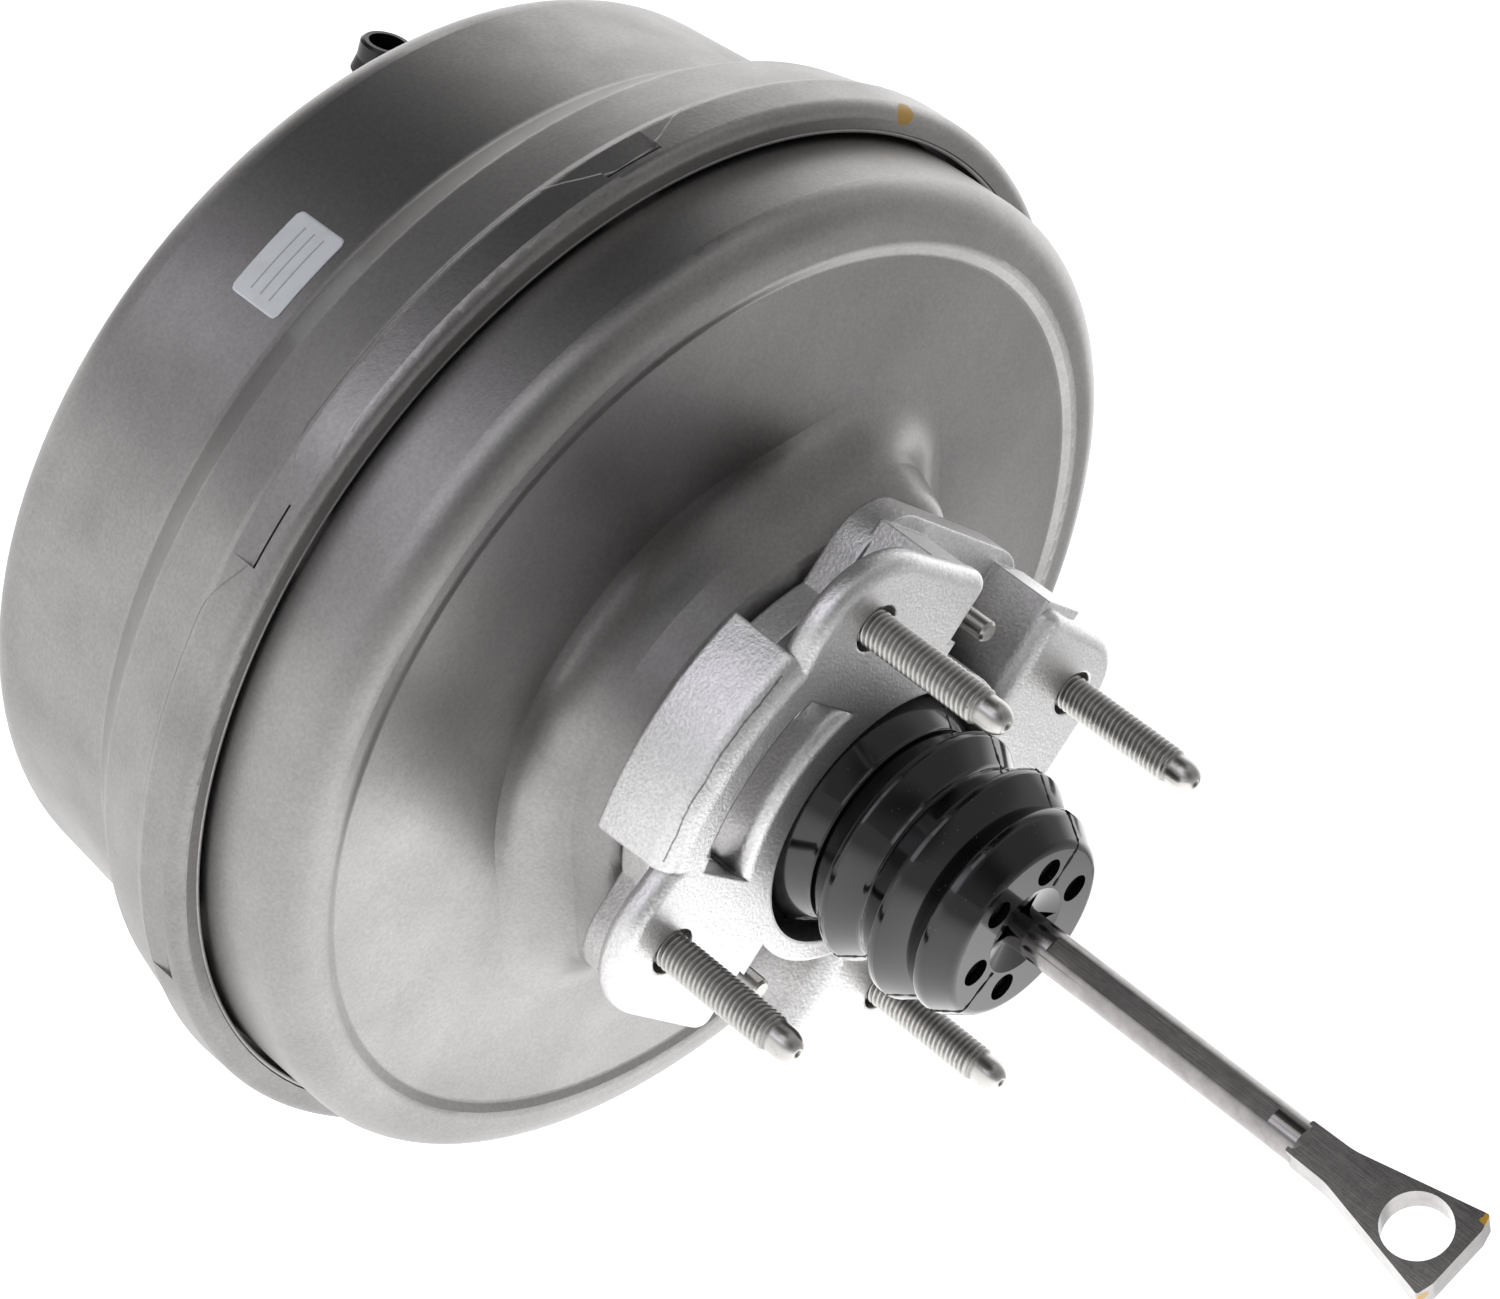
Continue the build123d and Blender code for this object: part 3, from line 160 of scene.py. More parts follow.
class BootShape(bpy.types.PropertyGroup):
    """Moulding detail of the rubber boot."""
    wall: length_setting("Wall", "Thickness of the rubber", 1.4, 0.5, 3)
    root_radius: length_setting("Root radius", "Outside of the band on the collar", 26.0, 20, 30)
    ridge_radius: length_setting("Ridge radius", "Outside of the folds", 27.2, 22, 32)
    valley_radius: length_setting("Valley radius", "Between the folds", 22.6, 18, 28)
    pitch: length_setting("Fold pitch", "From one fold to the next", 13.5, 8, 20)
    first_ridge: length_setting("First ridge", "Place of the first fold along the axis", 2.8, -10, 10)
    folds: IntProperty(name="Folds", description="Number of folds", default=3, min=1, max=5)
    slit_width: length_setting("Slit width", "Of the lip's slits where they meet the rod", 3.4, 0.2, 5)
    lip_depth: length_setting("Lip depth", "How far the lip dips in round the rod", 1.6, 1, 5)
    flash_height: length_setting("Flash height", "Rubber squeezed out at the mould's joint", 0.28, 0.05, 1)


class LabelShape(bpy.types.PropertyGroup):
    """Blank inspection label on the front shell."""
    angle: FloatProperty(name="Angle", description="Middle of the label about the axis", subtype="ANGLE",
                         default=math.radians(161.3))
    middle: length_setting("Middle", "Middle of the label along the axis", 116.2, 110, 140)
    length: length_setting("Length", "Round the shell", 20.5, 5, 60)
    width: length_setting("Width", "Along the shell", 14.0, 5, 30)
    thickness: length_setting("Thickness", "Label and its glue", 0.12, 0.05, 0.5)


class StageSettings(bpy.types.PropertyGroup):
    """Floor, lights and camera."""
    floor_colour: colour_setting("Floor", "Pale matt floor", "F4F4F4")
    floor_radius: FloatProperty(name="Floor radius", description="Of the round floor", unit="LENGTH",
                                default=9.0, min=1, max=30)
    lens: FloatProperty(name="Lens", description="Focal length in millimetres", subtype="DISTANCE_CAMERA",
                        default=100.99, min=20, max=300)
    key_power: FloatProperty(name="Key light", description="Soft light above the shells", subtype="POWER",
                             default=1.0, min=0, max=500)
    # painted glow: the table's own emission stands in for light coming up through it
    table_glow: amount_setting("Table glow", "Light that comes up through the table", 0.70)
    room: amount_setting("Room", "Brightness of the dim room", 0.50)
    backdrop: amount_setting("Backdrop", "Brightness of the lit backdrop behind the booster", 1.0)
    side_wall: amount_setting("Side wall", "Brightness of the lit wall on the booster's left", 0.95)


# ---- shader nodes ------------------------------------------------------------------------------


def add(tree, kind, links=None, **settings):
    """Adds one node with its settings; links maps a socket to a value or to another node's output."""
    new = tree.nodes.new(kind)
    for key, value in settings.items():
        setattr(new, key, value)
    for socket, value in (links or {}).items():
        if isinstance(value, bpy.types.NodeSocket):
            tree.links.new(value, new.inputs[socket])
        else:
            new.inputs[socket].default_value = value
    return new


def maths(tree, operation, *values):
    """Result of a Math node."""
    return add(tree, "ShaderNodeMath", dict(enumerate(values)), operation=operation).outputs["Value"]


def vectors(tree, operation, *values):
    """Result of a Vector Math node: a number where the operation gives one, or else a vector."""
    node = add(tree, "ShaderNodeVectorMath", dict(enumerate(values)), operation=operation)
    return node.outputs["Value" if operation in ("DISTANCE", "DOT_PRODUCT", "LENGTH") else "Vector"]


def scaled(tree, vector, amount):
    """A vector or colour times an amount."""
    node = add(tree, "ShaderNodeVectorMath", {0: vector, "Scale": amount}, operation="SCALE")
    return node.outputs["Vector"]


def ramp(tree, value, low, high, to_low, to_high, kind="LINEAR"):
    """The value taken from the range low to high into the range to_low to to_high, and clamped there."""
    return add(tree, "ShaderNodeMapRange", {"Value": value, "From Min": low, "From Max": high,
                                            "To Min": to_low, "To Max": to_high},
               interpolation_type=kind).outputs["Result"]


def noise(tree, place, size_mm, detail, roughness=0.5):
    """Noise from 0 to 1 whose largest blotches are about size_mm across."""
    return add(tree, "ShaderNodeTexNoise", {"Vector": place, "Scale": 1000 / size_mm, "Detail": detail,
                                            "Roughness": roughness}).outputs["Fac"]


def mixed(tree, amount, first, second):
    """The first colour, turned into the second by the amount."""
    return add(tree, "ShaderNodeMix", {"Factor": amount, "A": first, "B": second},
               data_type="RGBA").outputs["Result"]


def dented(tree, height, depth_mm, **links):
    """Normal of a surface dented by a height of depth_mm."""
    sockets = {"Height": height, "Distance": depth_mm * MM, "Strength": 1.0, **links}
    return add(tree, "ShaderNodeBump", sockets).outputs["Normal"]


def start_material(name, **sockets):
    """A material with one Principled shader, and its tree, shader and object coordinates."""
    material = bpy.data.materials.new(name)
    material.use_nodes = True
    tree = material.node_tree
    shader = tree.nodes["Principled BSDF"]
    for socket, value in sockets.items():
        shader.inputs[socket.replace("_", " ")].default_value = value
    return material, tree, shader, add(tree, "ShaderNodeTexCoord").outputs["Object"]


def connect(tree, shader, **outputs):
    """Links outputs to the shader's sockets. One that is None leaves its socket's own value."""
    for socket, output in outputs.items():
        if output is not None:
            tree.links.new(output, shader.inputs[socket.replace("_", " ")])


def painted(tree, place, ragged, base, marks, mark_colour):
    """Base colour with dabs of paint on it, and how much of the metal stays bare. marks are (place,
    radius), and ragged is a noise that breaks their edges."""
    bare = None
    for centre, radius in marks:
        reach = maths(tree, "MULTIPLY_ADD", ragged, -1.6 * radius, 1.8 * radius)
        dab = maths(tree, "LESS_THAN", vectors(tree, "DISTANCE", place, centre), reach)
        base = mixed(tree, dab, base, mark_colour)
        clear = maths(tree, "SUBTRACT", 1.0, dab)
        bare = clear if bare is None else maths(tree, "MULTIPLY", bare, clear)
    return base, bare


# ---- materials ---------------------------------------------------------------------------------

BRACKET_SHADOW = (78.0 * MM, 96.0 * MM)     # the bracket's shade ends between these distances from the axis


def blasted_steel(name, colours, patch_mm=26.0, band=False, marks=(), mark_colour=None, shadow_mm=0.0):
    """Deep-drawn steel sheet cleaned by bead blasting: a soft neutral sheen with a fine sparkle of dents,
    faint cloudy patches, and a coarser scale where the sheet was worked hardest at its band. Within
    shadow_mm of the bracket that stands on it the sheet is darkened with painted shade from an occlusion
    pass."""
    roughness, grain_mm, grain_depth_mm = 0.35, 0.5, 0.024
    material, tree, shader, place = start_material(name, Metallic=1.0, Roughness=roughness)
    clouds = noise(tree, place, patch_mm, 5.0, 0.55)
    grain = noise(tree, place, grain_mm, 2.0, 0.6)
    specks = noise(tree, place, grain_mm * 1.7, 2.0, 0.6)
    skin = mixed(tree, ramp(tree, clouds, 0.35, 0.68, 0.0, 1.0), *colours)
    skin = scaled(tree, skin, ramp(tree, specks, 0.30, 0.70, 0.91, 1.09))
    if shadow_mm:
        # painted shade: an occlusion pass darkens the sheet near the bracket's foot, inside BRACKET_SHADOW
        bracket_occlusion = add(tree, "ShaderNodeAmbientOcclusion", {"Distance": shadow_mm * MM}, samples=8)
        bracket_painted_shade = ramp(tree, bracket_occlusion.outputs["AO"], 0.35, 0.86, 0.42, 1.0)
        away = vectors(tree, "LENGTH", vectors(tree, "MULTIPLY", place, (1.0, 0.0, 1.0)))
        outside = ramp(tree, away, *BRACKET_SHADOW, 0.0, 1.0)
        skin = scaled(tree, skin, maths(tree, "MAXIMUM", bracket_painted_shade, outside))
    height = band_height(tree, place, grain, noise(tree, place, 1.6, 3.0, 0.65)) if band else grain
    base, bare = painted(tree, place, clouds, skin, marks, mark_colour)
    connect(tree, shader, Metallic=bare, Base_Color=base,
            Roughness=ramp(tree, clouds, 0.3, 0.7, roughness - 0.03, roughness + 0.04),
            Normal=dented(tree, height, grain_depth_mm))
    return material


LANCE_ANGLE = math.radians(181.6)     # the middle one of three lances on each side
LANCE_PITCH = math.radians(47.0)


def band_height(tree, place, grain, scale):
    """Height of the surface where the skirt was drawn over its flange: a low step runs round the band and
    dips to each lance, and the side nearer the lip is covered in coarse scale."""
    axes = add(tree, "ShaderNodeSeparateXYZ", {"Vector": place}).outputs
    turn = maths(tree, "SUBTRACT", maths(tree, "ARCTAN2", axes["Z"], axes["X"]), LANCE_ANGLE)
    to_middle = maths(tree, "ABSOLUTE", maths(tree, "WRAP", turn, -math.pi / 2, math.pi / 2))
    to_outer = maths(tree, "ABSOLUTE", maths(tree, "SUBTRACT", to_middle, LANCE_PITCH))
    dip = ramp(tree, maths(tree, "MINIMUM", to_middle, to_outer), math.radians(1.5), math.radians(10.0),
               73.4 * MM, 79.6 * MM, "SMOOTHSTEP")
    edge = maths(tree, "MULTIPLY_ADD", noise(tree, place, 1000 / 90.0, 3.0), 1.8 * MM, dip)
    beyond = maths(tree, "SUBTRACT", edge, axes["Y"])
    step = ramp(tree, beyond, -0.3 * MM, 0.3 * MM, 0.0, 1.0, "SMOOTHSTEP")
    scaly = maths(tree, "MULTIPLY_ADD", maths(tree, "MULTIPLY", step, scale), 2.2, grain)
    return maths(tree, "MULTIPLY_ADD", step, 5.0, scaly)


def sand_cast_aluminium(name, colour):
    """Aluminium cast in a sand mould and shot blasted: a pale skin with a coarse sparkling grain, rubbed
    brighter along its edges, darkened in its recesses with painted shade from an occlusion pass, and a
    parting line just behind the front edge of the side wall."""
    material, tree, shader, place = start_material(name, Metallic=1.0, Roughness=0.42)
    grain = noise(tree, place, 0.7, 3.0, 0.6)
    swell = noise(tree, place, 9.0, 3.0)
    axes = add(tree, "ShaderNodeSeparateXYZ", {"Vector": place}).outputs
    away = maths(tree, "SUBTRACT", axes["Y"], maths(tree, "MULTIPLY_ADD", swell, 1.6 * MM, 1.2 * MM))
    left = maths(tree, "LESS_THAN", axes["X"], -57.5 * MM)
    level = maths(tree, "COMPARE", axes["Z"], 1.0 * MM, 21.0 * MM)
    line = maths(tree, "MULTIPLY", maths(tree, "COMPARE", away, 0.0, 0.14 * MM),
                 maths(tree, "MULTIPLY", left, level))
    soft = add(tree, "ShaderNodeBevel", {"Radius": 0.9 * MM}, samples=6).outputs["Normal"]
    sharp = add(tree, "ShaderNodeNewGeometry").outputs["Normal"]
    edge = ramp(tree, vectors(tree, "DOT_PRODUCT", soft, sharp), 0.97, 0.80, 0.0, 1.0)
    tone = maths(tree, "MULTIPLY_ADD", line, -0.55, ramp(tree, grain, 0.3, 0.7, 0.80, 1.08))
    # painted shade: recesses within 14 mm are darkened to as little as 0.22 of the tone
    recess_painted_shade = add(tree, "ShaderNodeAmbientOcclusion", {"Distance": 14.0 * MM}, samples=8,
                 only_local=True).outputs["AO"]
    tone = maths(tree, "MULTIPLY", tone, ramp(tree, recess_painted_shade, 0.2, 0.72, 0.22, 1.0, "SMOOTHSTEP"))
    height = maths(tree, "MULTIPLY_ADD", swell, 2.0, maths(tree, "MULTIPLY_ADD", line, -2.5, grain))
    connect(tree, shader, Base_Color=scaled(tree, colour[:3], tone),
            Roughness=ramp(tree, edge, 0.0, 1.0, 0.38, 0.24),
            Normal=dented(tree, height, 0.11, Normal=soft))
    return material


def worked_metal(name, colour, roughness, streak_mm, along, depth_mm, contrast, marks=(),
                 mark_colour=None):
    """Steel that a tool has passed over in one direction: rolled, drawn or polished. Fine streaks run along
    the work and break its gloss. marks are (place, radius) of dabs of paint."""
    material, tree, shader, place = start_material(name, Metallic=1.0, Roughness=roughness)
    stretch = tuple(0.04 if axis == along else 1.0 for axis in "XYZ")
    drawn = add(tree, "ShaderNodeMapping", {"Vector": place, "Scale": stretch}).outputs["Vector"]
    streaks = noise(tree, drawn, streak_mm, 3.0, 0.6)
    stains = noise(tree, place, 3.5, 4.0, 0.65)
    tinted = scaled(tree, colour[:3], ramp(tree, stains, 0.3, 0.7, 1.0 - contrast, 1.0 + contrast))
    base, bare = painted(tree, place, stains, tinted, marks, mark_colour)
    connect(tree, shader, Metallic=bare, Base_Color=base,
            Roughness=ramp(tree, streaks, 0.3, 0.7, roughness * 0.8, roughness * 1.3),
            Normal=dented(tree, streaks, depth_mm))
    return material


def rolled_zinc(name, colour):
    """Zinc plating over a rolled thread: bright rubbed crests, and dull dirt in the grooves."""
    material, tree, shader, place = start_material(name, Metallic=1.0, Roughness=0.34)
    groove = add(tree, "ShaderNodeAttribute", attribute_name="groove").outputs["Fac"]
    stains = noise(tree, place, 1.4, 4.0, 0.7)
    dirt = maths(tree, "MULTIPLY", groove, stains)
    tone = maths(tree, "MULTIPLY", ramp(tree, dirt, 0.0, 0.55, 1.08, 0.50),
                 ramp(tree, stains, 0.28, 0.40, 0.45, 1.0))
    connect(tree, shader, Base_Color=scaled(tree, colour[:3], tone),
            Roughness=ramp(tree, dirt, 0.0, 0.5, 0.28, 0.52), Normal=dented(tree, stains, 0.03))
    return material


def moulded(name, colour, roughness, grain_mm, depth_mm, dust=0.0, oil=0.0, sheen=0.0, ior=1.5):
    """Rubber or plastic pressed in a mould: it copies the mould's surface, from a wet gloss to a fine matt
    grain, and dust settles on it as pale specks. oil is the film that the mould leaves on it."""
    material, tree, shader, place = start_material(name, Roughness=roughness, IOR=ior, Coat_Weight=oil,
                                                   Coat_Roughness=0.05, Sheen_Weight=sheen)
    grain = noise(tree, place, grain_mm, 4.0)
    smear = noise(tree, place, 11.0, 4.0, 0.6)
    specks = add(tree, "ShaderNodeTexVoronoi", {"Vector": place, "Scale": 1000 / 1.9, "Randomness": 1.0})
    pale = ramp(tree, specks.outputs["Distance"], 0.05, 0.09, dust, 0.0)
    connect(tree, shader, Base_Color=mixed(tree, pale, colour, linear("8A8880")),
            Roughness=ramp(tree, smear, 0.3, 0.7, roughness * 0.75, roughness * 1.35),
            Normal=dented(tree, grain, depth_mm))
    return material


def open_cell_foam(name, colour):
    """Polyurethane foam with its cells cut open: a dark web with pale strands. The cells are drawn at
    1.1 mm, about twice their size, to show."""
    material, tree, shader, place = start_material(name, Roughness=0.95)
    cells = add(tree, "ShaderNodeTexVoronoi", {"Vector": place, "Scale": 1000 / 1.1},
                feature="DISTANCE_TO_EDGE")
    strand = ramp(tree, cells.outputs["Distance"], 0.04, 0.16, 1.0, 0.0)
    connect(tree, shader, Base_Color=scaled(tree, colour[:3], ramp(tree, strand, 0.0, 1.0, 0.35, 1.5)),
            Normal=dented(tree, strand, 0.5))
    return material


def label_vinyl(name, colour):
    """White vinyl with a satin print coat: blank but for thin ruled lines to write on, and a little
    soiled."""
    material, tree, shader, place = start_material(name, Roughness=0.38)
    flat = add(tree, "ShaderNodeTexCoord").outputs["UV"]
    spot = add(tree, "ShaderNodeSeparateXYZ", {"Vector": flat}).outputs
    rule = maths(tree, "COMPARE", maths(tree, "FRACT", maths(tree, "MULTIPLY", spot["Y"], 5.0)), 0.5, 0.07)
    across = maths(tree, "COMPARE", spot["X"], 0.5, 0.38)
    along = maths(tree, "COMPARE", spot["Y"], 0.5, 0.38)
    printed = maths(tree, "MULTIPLY", maths(tree, "MULTIPLY", rule, across), along)
    grime = noise(tree, place, 6.0, 5.0, 0.7)
    face = mixed(tree, ramp(tree, grime, 0.45, 0.85, 0.0, 0.35), colour, linear("B9B7B0"))
    face = mixed(tree, maths(tree, "MULTIPLY", printed, 0.55), face, linear("6F7378"))
    connect(tree, shader, Base_Color=face, Normal=dented(tree, grime, 0.03))
    return material


# ---- mesh helpers ------------------------------------------------------------------------------


def coat(slot, material):
    """Gives one material to the CAD nodes in that slot of the record."""
    for name in in_slot(slot):
        paint(name, material)


def paint(name, material):
    """Gives a CAD node its material."""
    materials = nodes[name].data.materials
    materials.clear()
    materials.append(material)


def in_slot(slot):
    """CAD nodes whose finish is that slot of the record."""
    return [name for name, own in node_slots.items() if own == slot]


def heading(angle_deg):
    """Unit vector across the booster's axis at an angle from +X towards +Z."""
    turn = math.radians(angle_deg)
    return Vector((math.cos(turn), 0, math.sin(turn)))


def around(radius, angle, y):
    """A place given by its distance from the booster's axis, its angle about it and its place along it."""
    return (radius * math.cos(angle), y, radius * math.sin(angle))


def linked_mesh(name, points, faces, material):
    """A mesh object in the scene."""
    mesh = bpy.data.meshes.new(name)
    mesh.from_pydata(points, [], faces)
    mesh.materials.append(material)
    holder = bpy.data.objects.new(name, mesh)
    bpy.context.scene.collection.objects.link(holder)
    return holder


def make_piece(name, points, faces, material, body, smooth=True):
    """A mesh piece that rides on a CAD body."""
    piece = linked_mesh(name, points, faces, material)
    piece.data.polygons.foreach_set("use_smooth", [smooth] * len(piece.data.polygons))
    piece.data.validate()
    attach(piece, body)
    return piece


def turned(rings, segments, centre=(0.0, 0.0), close_ends=True):
    """Points and faces of a form turned about the Y axis. A ring is (y, radius) or (y, radius by angle)."""
    points, faces = [], []
    for y, radius in rings:
        for step in range(segments):
            angle = 2 * math.pi * step / segments
            r = radius(angle) if callable(radius) else radius
            points.append((centre[0] + r * math.cos(angle), y, centre[1] + r * math.sin(angle)))
    for ring in range(len(rings) - 1):
        for step in range(segments):
            a, b = ring * segments + step, ring * segments + (step + 1) % segments
            faces.append((a, b, b + segments, a + segments))
    if close_ends:
        last = (len(rings) - 1) * segments
        faces.append(tuple(range(segments))[::-1])
        faces.append(tuple(range(last, last + segments)))
    return points, faces


def rounded(corners, steps=5):
    """A line of (y, r) with each corner (y, r, rounding) rounded by an arc drawn as a few chords."""
    line = []
    for i, (y, r, rounding) in enumerate(corners):
        here = Vector((y, r))
        if rounding <= 0 or i in (0, len(corners) - 1):
            line.append(here)
            continue
        back = (Vector(corners[i - 1][:2]) - here).normalized()
        ahead = (Vector(corners[i + 1][:2]) - here).normalized()
        half = back.angle(ahead) / 2
        reach = rounding / math.tan(half)
        start, end = here + back * reach, here + ahead * reach
        middle = here + (back + ahead).normalized() * (rounding / math.sin(half))
        for step in range(steps + 1):
            spoke = start.lerp(end, step / steps) - middle
            line.append(middle + spoke.normalized() * rounding)
    return line


# ---- pieces ------------------------------------------------------------------------------------

BEAD_Y, BEAD_RADIUS, BEAD_WIRE = 69.6 * MM, 117.45 * MM, 0.55 * MM
BEAD_STEPS = 16
LIP_MARK = (around(122.6 * MM, math.radians(99.5), 68.6 * MM), 2.3 * MM)     # a dab's place and radius


class BOOSTER_OT_shells(bpy.types.Operator):
    """Blasted steel on both shells, and the rolled bead inside the front shell's lip"""
    bl_idname = "booster.shells"
    bl_label = "Shells"

    def execute(self, context):
        finish = context.scene.booster_finishes
        # the front shell's steel is a darker copy of the rear shell's, painted shade
        front = blasted_steel("Bead blasted steel, front shell", (finish.drum_steel_shaded, finish.drum_shade),
                              band=True, marks=[LIP_MARK], mark_colour=finish.paint_mark)
        # the rear shell carries painted shade round the bracket's foot
        rear = blasted_steel("Bead blasted steel, rear shell", (finish.shell_steel, finish.shell_shade),
                             patch_mm=40.0, shadow_mm=36.0)
        paint("front_shell", front)
        paint("rear_shell", rear)
        bead = []
        for step in range(BEAD_STEPS + 1):
            turn = 2 * math.pi * step / BEAD_STEPS
            bead.append((BEAD_Y + BEAD_WIRE * math.sin(turn), BEAD_RADIUS + BEAD_WIRE * math.cos(turn)))
        points, faces = turned(bead, 256, close_ends=False)
        make_piece("lip_bead", points, faces, rear, "housing")
        return {"FINISHED"}


class BOOSTER_OT_bracket(bpy.types.Operator):
    """Sand-cast aluminium on the firewall bracket"""
    bl_idname = "booster.bracket"
    bl_label = "Bracket"

    def execute(self, context):
        skin = context.scene.booster_finishes.cast_aluminium
        coat("cast_aluminium", sand_cast_aluminium("Sand cast aluminium", skin))
        return {"FINISHED"}


STUD_RADIUS = 4.0 * MM
STUD_DOME = 3.9 * MM                                    # length of the rounded tip
STUD_SEGMENTS = 40
THREAD_ROWS = 8                                         # of points in each turn of the thread
BRACKET_SHOULDER = (3.0 * MM, 3.0 * MM, 4.4 * MM)       # head's thickness, shoulder's length and radius
CYLINDER_SHOULDER = (2.5 * MM, 4.8 * MM, 4.5 * MM)


class BOOSTER_OT_studs(bpy.types.Operator):
    """Rolled threads, smooth leads and centre marks on the six studs, and plated pins"""
    bl_idname = "booster.studs"
    bl_label = "Studs and pins"

    def execute(self, context):
        finish, thread = context.scene.booster_finishes, context.scene.booster_threads
        zinc = rolled_zinc("Zinc plated rolled steel", finish.stud_zinc)
        coat("stud_steel", zinc)
        for name in [n for n in in_slot("stud_steel") if "_stud_" in n]:
            low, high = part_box(name)
            centre = ((low.x + high.x) / 2, (low.z + high.z) / 2)
            head_radius = (high.x - low.x) / 2
            tip, head = (low.y, high.y) if name.startswith("bracket") else (high.y, low.y)
            points, faces, grooves = self.stud(thread, tip, head, head_radius, centre)
            piece = make_piece(name + "_threaded", points, faces, zinc, "housing")
            attribute = piece.data.attributes.new("groove", "FLOAT", "POINT")
            attribute.data.foreach_set("value", grooves)
            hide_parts(name)
        return {"FINISHED"}

    def stud(self, thread, tip, head, head_radius, centre):
        """One stud from its tip to its head, with a helical groove rolled into its shank."""
        way = 1.0 if head > tip else -1.0
        head_thickness, shoulder_length, shoulder = BRACKET_SHOULDER if way > 0 else CYLINDER_SHOULDER
        thread_start = tip + way * thread.lead_length
        thread_end = head - way * (head_thickness + shoulder_length + 0.4 * MM)
        rings, grooves = [], []

        def ring(y, radius, groove=0.0):
            rings.append((y, radius))
            grooves.append(groove)

        def lower(distance, radius):
            ring(head - way * distance, radius)

        dimple = thread.dimple_radius
        ring(tip + way * 0.55 * MM, 0.05 * MM, 1.0)
        ring(tip + way * 0.45 * MM, dimple * 0.55, 1.0)
        ring(tip + way * 0.05 * MM, dimple * 0.9, 0.6)
        ring(tip, dimple * 1.1)
        for step in range(1, 11):
            turn = math.pi / 2 * step / 10
            ring(tip + way * STUD_DOME * (1 - math.cos(turn)),
                 dimple * 1.1 + (thread.lead_radius - dimple * 1.1) * math.sin(turn))
        ring(thread_start - way * 0.7 * MM, thread.lead_radius)
        count = int(abs(thread_end - thread_start) / thread.pitch * THREAD_ROWS)
        for row in range(count + 1):
            y = thread_start + way * row * thread.pitch / THREAD_ROWS
            fade = min(1.0, row / (1.3 * THREAD_ROWS), (count - row) / THREAD_ROWS + 0.05)
            grow = min(1.0, row / (0.8 * THREAD_ROWS))
            crest = thread.lead_radius + (STUD_RADIUS - thread.lead_radius) * grow

            def helical(angle, y=y, fade=fade, crest=crest):
                phase = 2 * math.pi * y / thread.pitch + angle
                return crest - thread.depth * fade * (0.5 - 0.5 * math.cos(phase)) ** 1.4
            ring(y, helical)
        ring(thread_end + way * 0.3 * MM, STUD_RADIUS)
        lower(head_thickness + shoulder_length, STUD_RADIUS)
        lower(head_thickness + shoulder_length, shoulder - 0.2 * MM)
        lower(head_thickness + shoulder_length - 0.2 * MM, shoulder)
        lower(head_thickness, shoulder)
        lower(head_thickness, head_radius - 0.3 * MM)
        lower(head_thickness - 0.3 * MM, head_radius)
        lower(0.5 * MM, head_radius)
        ring(head, head_radius - 0.5 * MM)
        points, faces = turned(rings, STUD_SEGMENTS, centre)
        if way < 0:
            faces = [face[::-1] for face in faces]
        values = []
        for (y, radius), groove in zip(rings, grooves):
            for step in range(STUD_SEGMENTS):
                r = radius(2 * math.pi * step / STUD_SEGMENTS) if callable(radius) else None
                values.append(groove if r is None else min(1.0, max(0.0, (STUD_RADIUS - r) / thread.depth)))
        return points, faces, values


SLIT_ANGLES = (32.0, 116.0, 208.0, 335.5)     # of the slits that the push rod holds open in the boot's lip
SLIT_END = 0.86                               # share of the way to the lip's rim at which the slits close
LIP_MOUTH = 4.45 * MM
LIP_THICKNESS = 0.6 * MM
LIP_STATIONS, LIP_STEPS = 9, 22
FLASH_ANGLES = (91.5, -101.0)                 # of the two ends of the mould's joint
FLASH_STEP = 0.7 * MM
RIB_HEIGHT, RIB_OFFSET, RIB_HALF_WIDTH = 0.14 * MM, 0.8 * MM, 0.25 * MM
CAP_SHOULDER_Y = -34.5 * MM


